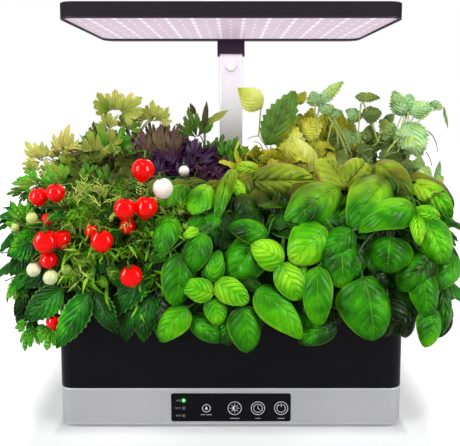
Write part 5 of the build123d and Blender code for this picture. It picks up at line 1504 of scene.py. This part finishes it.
def rear_plants():
    parsley_look = leaf_look(
        "parsley_leaf", [(0.0, 24, 12, 18), (0.15, 56, 34, 36), (0.35, 74, 78, 22), (0.5, 70, 128, 22),
                         (0.57, 76, 160, 22), (0.66, 138, 152, 42), (0.82, 186, 194, 88),
                         (1.0, 214, 194, 108)],
        (196, 206, 130), vein=0.18, gloss=0.5, radial=True, mottle=0.24, patch=0.5, painted_quilt_shading=0.1)
    purple_look = leaf_look(
        "purple_leaf", [(0.0, 18, 8, 20), (0.2, 56, 24, 60), (0.35, 86, 52, 60), (0.5, 104, 88, 50),
                        (1.0, 140, 134, 70)],
        (112, 50, 150), vein=0.35, gloss=0.42, radial=True, painted_quilt_shading=0.1, patch=0.6, rim=0.2)
    mustard_look = leaf_look(
        "mustard_leaf", [(0.0, 64, 78, 10), (0.24, 98, 156, 54), (0.36, 148, 154, 20),
                         (0.6, 200, 198, 34), (0.8, 226, 230, 80), (1.0, 240, 248, 136)],
        (232, 236, 150), slant=0.5, vein=0.35, gloss=0.48)
    mint_look = leaf_look(
        "mint_leaf", [(0.0, 50, 76, 32), (0.2, 102, 122, 52), (0.4, 156, 178, 82), (0.55, 156, 206, 132),
                      (0.64, 184, 224, 158), (0.75, 194, 226, 96)],
        (204, 232, 176), slant=0.5, vein=0.3, quilt=0.9, painted_quilt_shading=0.16, rim=0.5, foot=0.25)
    pale_stem = stem_look("pale_stem", (120, 150, 50), (206, 214, 120))
    dark_stem = stem_look("dark_stem", (70, 60, 48), (128, 122, 84))

    parsley = Plant("parsley", 5, 41)
    grow_branches(parsley, (-0.26, -0.12), (0.0, 0.07), 0.36, 12, radius=0.0022, bottom=0.19)
    hero(parsley, FAN, PARSLEY_LEAVES, compound=True)
    fill_crown(parsley, FAN_SMALL, (-0.262, -0.005, 0.165), (-0.112, 0.085, 0.325), 300, (0.022, 0.036),
               shape_width=1.0, tones=(0.0, 0.52), **REAR_FILL)
    parsley.finish([parsley_look, pale_stem], "parsley_foliage", "parsley_plant", squash=REAR_KEEP)

    purple = Plant("purple_basil", 6, 42)
    grow_branches(purple, (-0.11, -0.005), (0.0, 0.07), 0.33, 10, radius=0.0022, bottom=0.19)
    hero(purple, FRILL, PURPLE_LEAVES, compound=True, spread=0.7, wave=0.06)
    hero(purple, FAN, GREY_LEAVES, look=2, compound=True)
    hero(purple, NARROW_LEAF, GREY_BLADES, look=2)
    sprigs(purple, PURPLE_STALKS)
    fill_crown(purple, FRILL_SMALL, (-0.128, -0.005, 0.165), (-0.002, 0.085, 0.315), 300, (0.024, 0.04),
               shape_width=0.8, tones=(0.0, 0.36), **REAR_FILL)
    purple.finish([purple_look, dark_stem, parsley_look], "purple_foliage", "purple_basil_plant",
                  squash=REAR_KEEP)

    mustard = Plant("mustard", 7, 43)
    grow_branches(mustard, (0.005, 0.11), (0.0, 0.07), 0.34, 10, radius=0.0022, bottom=0.19)
    hero(mustard, MINT_LEAF, MUSTARD_LEAVES, wave=0.05)
    hero(mustard, BASIL_YOUNG, YOUNG_MUSTARD, cup=0.2)
    hero(mustard, TOMATO_LEAF, PALE_MUSTARD, cup=0.06, arch=0.03, twist=0.0, curl=0.0,
         facing=(0.1, -1, 0.15))
    fill_crown(mustard, MINT_SMALL, (0.0, -0.005, 0.165), (0.118, 0.085, 0.315), 230, (0.026, 0.044),
               shape_width=0.7, tones=(0.1, 0.75), droop=0.2, inner=0.4, wave=0.06)
    mustard.finish([mustard_look, pale_stem], "mustard_foliage", "mustard_plant", squash=REAR_KEEP)

    mint = Plant("mint", 8, 44)
    grow_branches(mint, (0.12, 0.25), (0.0, 0.07), 0.33, 14, radius=0.0018, bottom=0.19)
    hero(mint, MINT_LEAF, MINT_LEAVES, wave=0.08, cup=0.22)
    sprigs(mint, HERB_STALKS, radius=0.0014)
    sprigs(mint, DRY_STALKS, look=2)
    fill_crown(mint, MINT_SMALL, (0.112, -0.005, 0.165), (0.252, 0.078, 0.305), 260, (0.022, 0.036),
               shape_width=0.75, tones=(0.05, 0.4), droop=0.2, inner=0.4, wave=0.08)
    mint.finish([mint_look, pale_stem, dark_stem], "mint_foliage", "mint_plant", squash=REAR_KEEP)


# ================================================================ floor, backdrop and lamps
FLOOR_SIZE = 8.0
WORLD_FILL = 0.18
# how much the floor glows beside the base, by its shadow, a little way off, and far away at the backdrop:
# the low glow near the base paints a soft shadow around it
FLOOR_GLOW = (0.1, 0.34, 0.75, 1.0)
# how far from the base it passes from each of these to the next
GLOW_STEPS = ((-0.004, 0.018), (0.05, 0.16), (0.3, 1.0))
SIDE_PACE = 2.5  # how much sooner the glow rises at the base's ends than in front of it
# each lamp: place, what it points at, size, watts, and whether the camera and the matt surfaces see it
SOFTBOXES = {
    "key_left": ((-1.15, -0.9, 0.8), (0, 0, 0.25), (0.22, 1.3), 14, True, True),
    "key_right": ((1.15, -0.9, 0.75), (0, 0, 0.25), (0.22, 1.3), 11, True, True),
    "top": ((0, -0.75, 1.75), (0, 0, 0.2), (0.8, 0.5), 19, True, True),
    "back": ((0.3, 1.5, 1.1), (0, 0, 0.3), (0.9, 0.6), 9, True, True),
    "grow_light": ((0, 0, 0.468), (0, 0, 0), (0.34, 0.18), 0.21, False, True),
    "glint_left": ((-1.1, -0.98, 0.62), (0, -0.1, 0.25), (0.5, 1.0), 66, False, False),
    "glint_right": ((1.1, -0.98, 0.62), (0, -0.1, 0.25), (0.5, 1.0), 66, False, False),
}


def light_path(look):
    """1 for rays that should see the plain white studio: from the camera, off gloss and through glass."""
    path = look.node("ShaderNodeLightPath", {}, {}).socket.node.outputs
    kinds = "Camera", "Glossy", "Transmission"
    camera, gloss, glass = (Val(look, path[f"Is {kind} Ray"]) for kind in kinds)
    return look.maths("MAXIMUM", look.maths("MAXIMUM", camera, gloss), glass)


def floor_look():
    """White paper that keeps the shadow: seen directly, it glows more the further it is from the base,
    so that a soft painted shadow lies around the base.
    """
    look = Look("white_floor", roughness=0.7, specular=0.1)
    watched = light_path(look)
    x, y, _ = look.axes(look.place())
    beyond_x = look.maths("MAXIMUM", abs(x) - BODY_HIGH.x, 0.0) * SIDE_PACE
    beyond_y = look.maths("MAXIMUM", abs(y) - BODY_HIGH.y, 0.0)
    away = look.maths("SQRT", beyond_x * beyond_x + beyond_y * beyond_y)
    lift = FLOOR_GLOW[0]
    for (start, end), before, after in zip(GLOW_STEPS, FLOOR_GLOW, FLOOR_GLOW[1:]):
        lift = lift + look.smooth(away, start, end) * (after - before)
    paper = look.mix(look.noise(30.0), srgb(190, 190, 191), srgb(194, 194, 195))
    look.feed(base_color=look.mix(watched, srgb(186, 186, 186), paper), emission_strength=1.0)
    return look.feed(emission_color=look.mix(watched * lift, (0, 0, 0, 1), (1, 1, 1, 1)))


def add_stage():
    clear_selection()
    bpy.ops.mesh.primitive_plane_add(size=FLOOR_SIZE)
    floor = bpy.context.object
    floor.name = "floor"
    floor.data.materials.append(floor_look())
    world = bpy.data.worlds.new("room")
    bpy.context.scene.world = world
    world.use_nodes = True
    room = Nodes(world.node_tree)
    background = room.tree.nodes["Background"]
    background.inputs["Color"].default_value = (1, 1, 1, 1)
    strength = WORLD_FILL + light_path(room) * (1.0 - WORLD_FILL)
    room.tree.links.new(strength.socket, background.inputs["Strength"])


def add_softbox(name, place, target, size, power, visible, diffuse):
    data = bpy.data.lights.new(name, "AREA")
    data.shape = "RECTANGLE"
    data.size, data.size_y = size
    data.energy = power
    lamp = bpy.data.objects.new(name, data)
    lamp.location = place
    lamp.rotation_euler = (Vector(target) - Vector(place)).to_track_quat("-Z", "Y").to_euler()
    lamp.visible_camera = visible
    lamp.visible_diffuse = diffuse
    bpy.context.scene.collection.objects.link(lamp)


# ================================================================ all together
add_camera()
FINISHES = finish_cad()
panel_marks()
lamp_cable()
release_spring()
basil_plants()
tomato_and_dill()
rear_plants()
add_stage()
for name, settings in SOFTBOXES.items():
    add_softbox(name, *settings)
bpy.context.scene.view_settings.view_transform = "Standard"
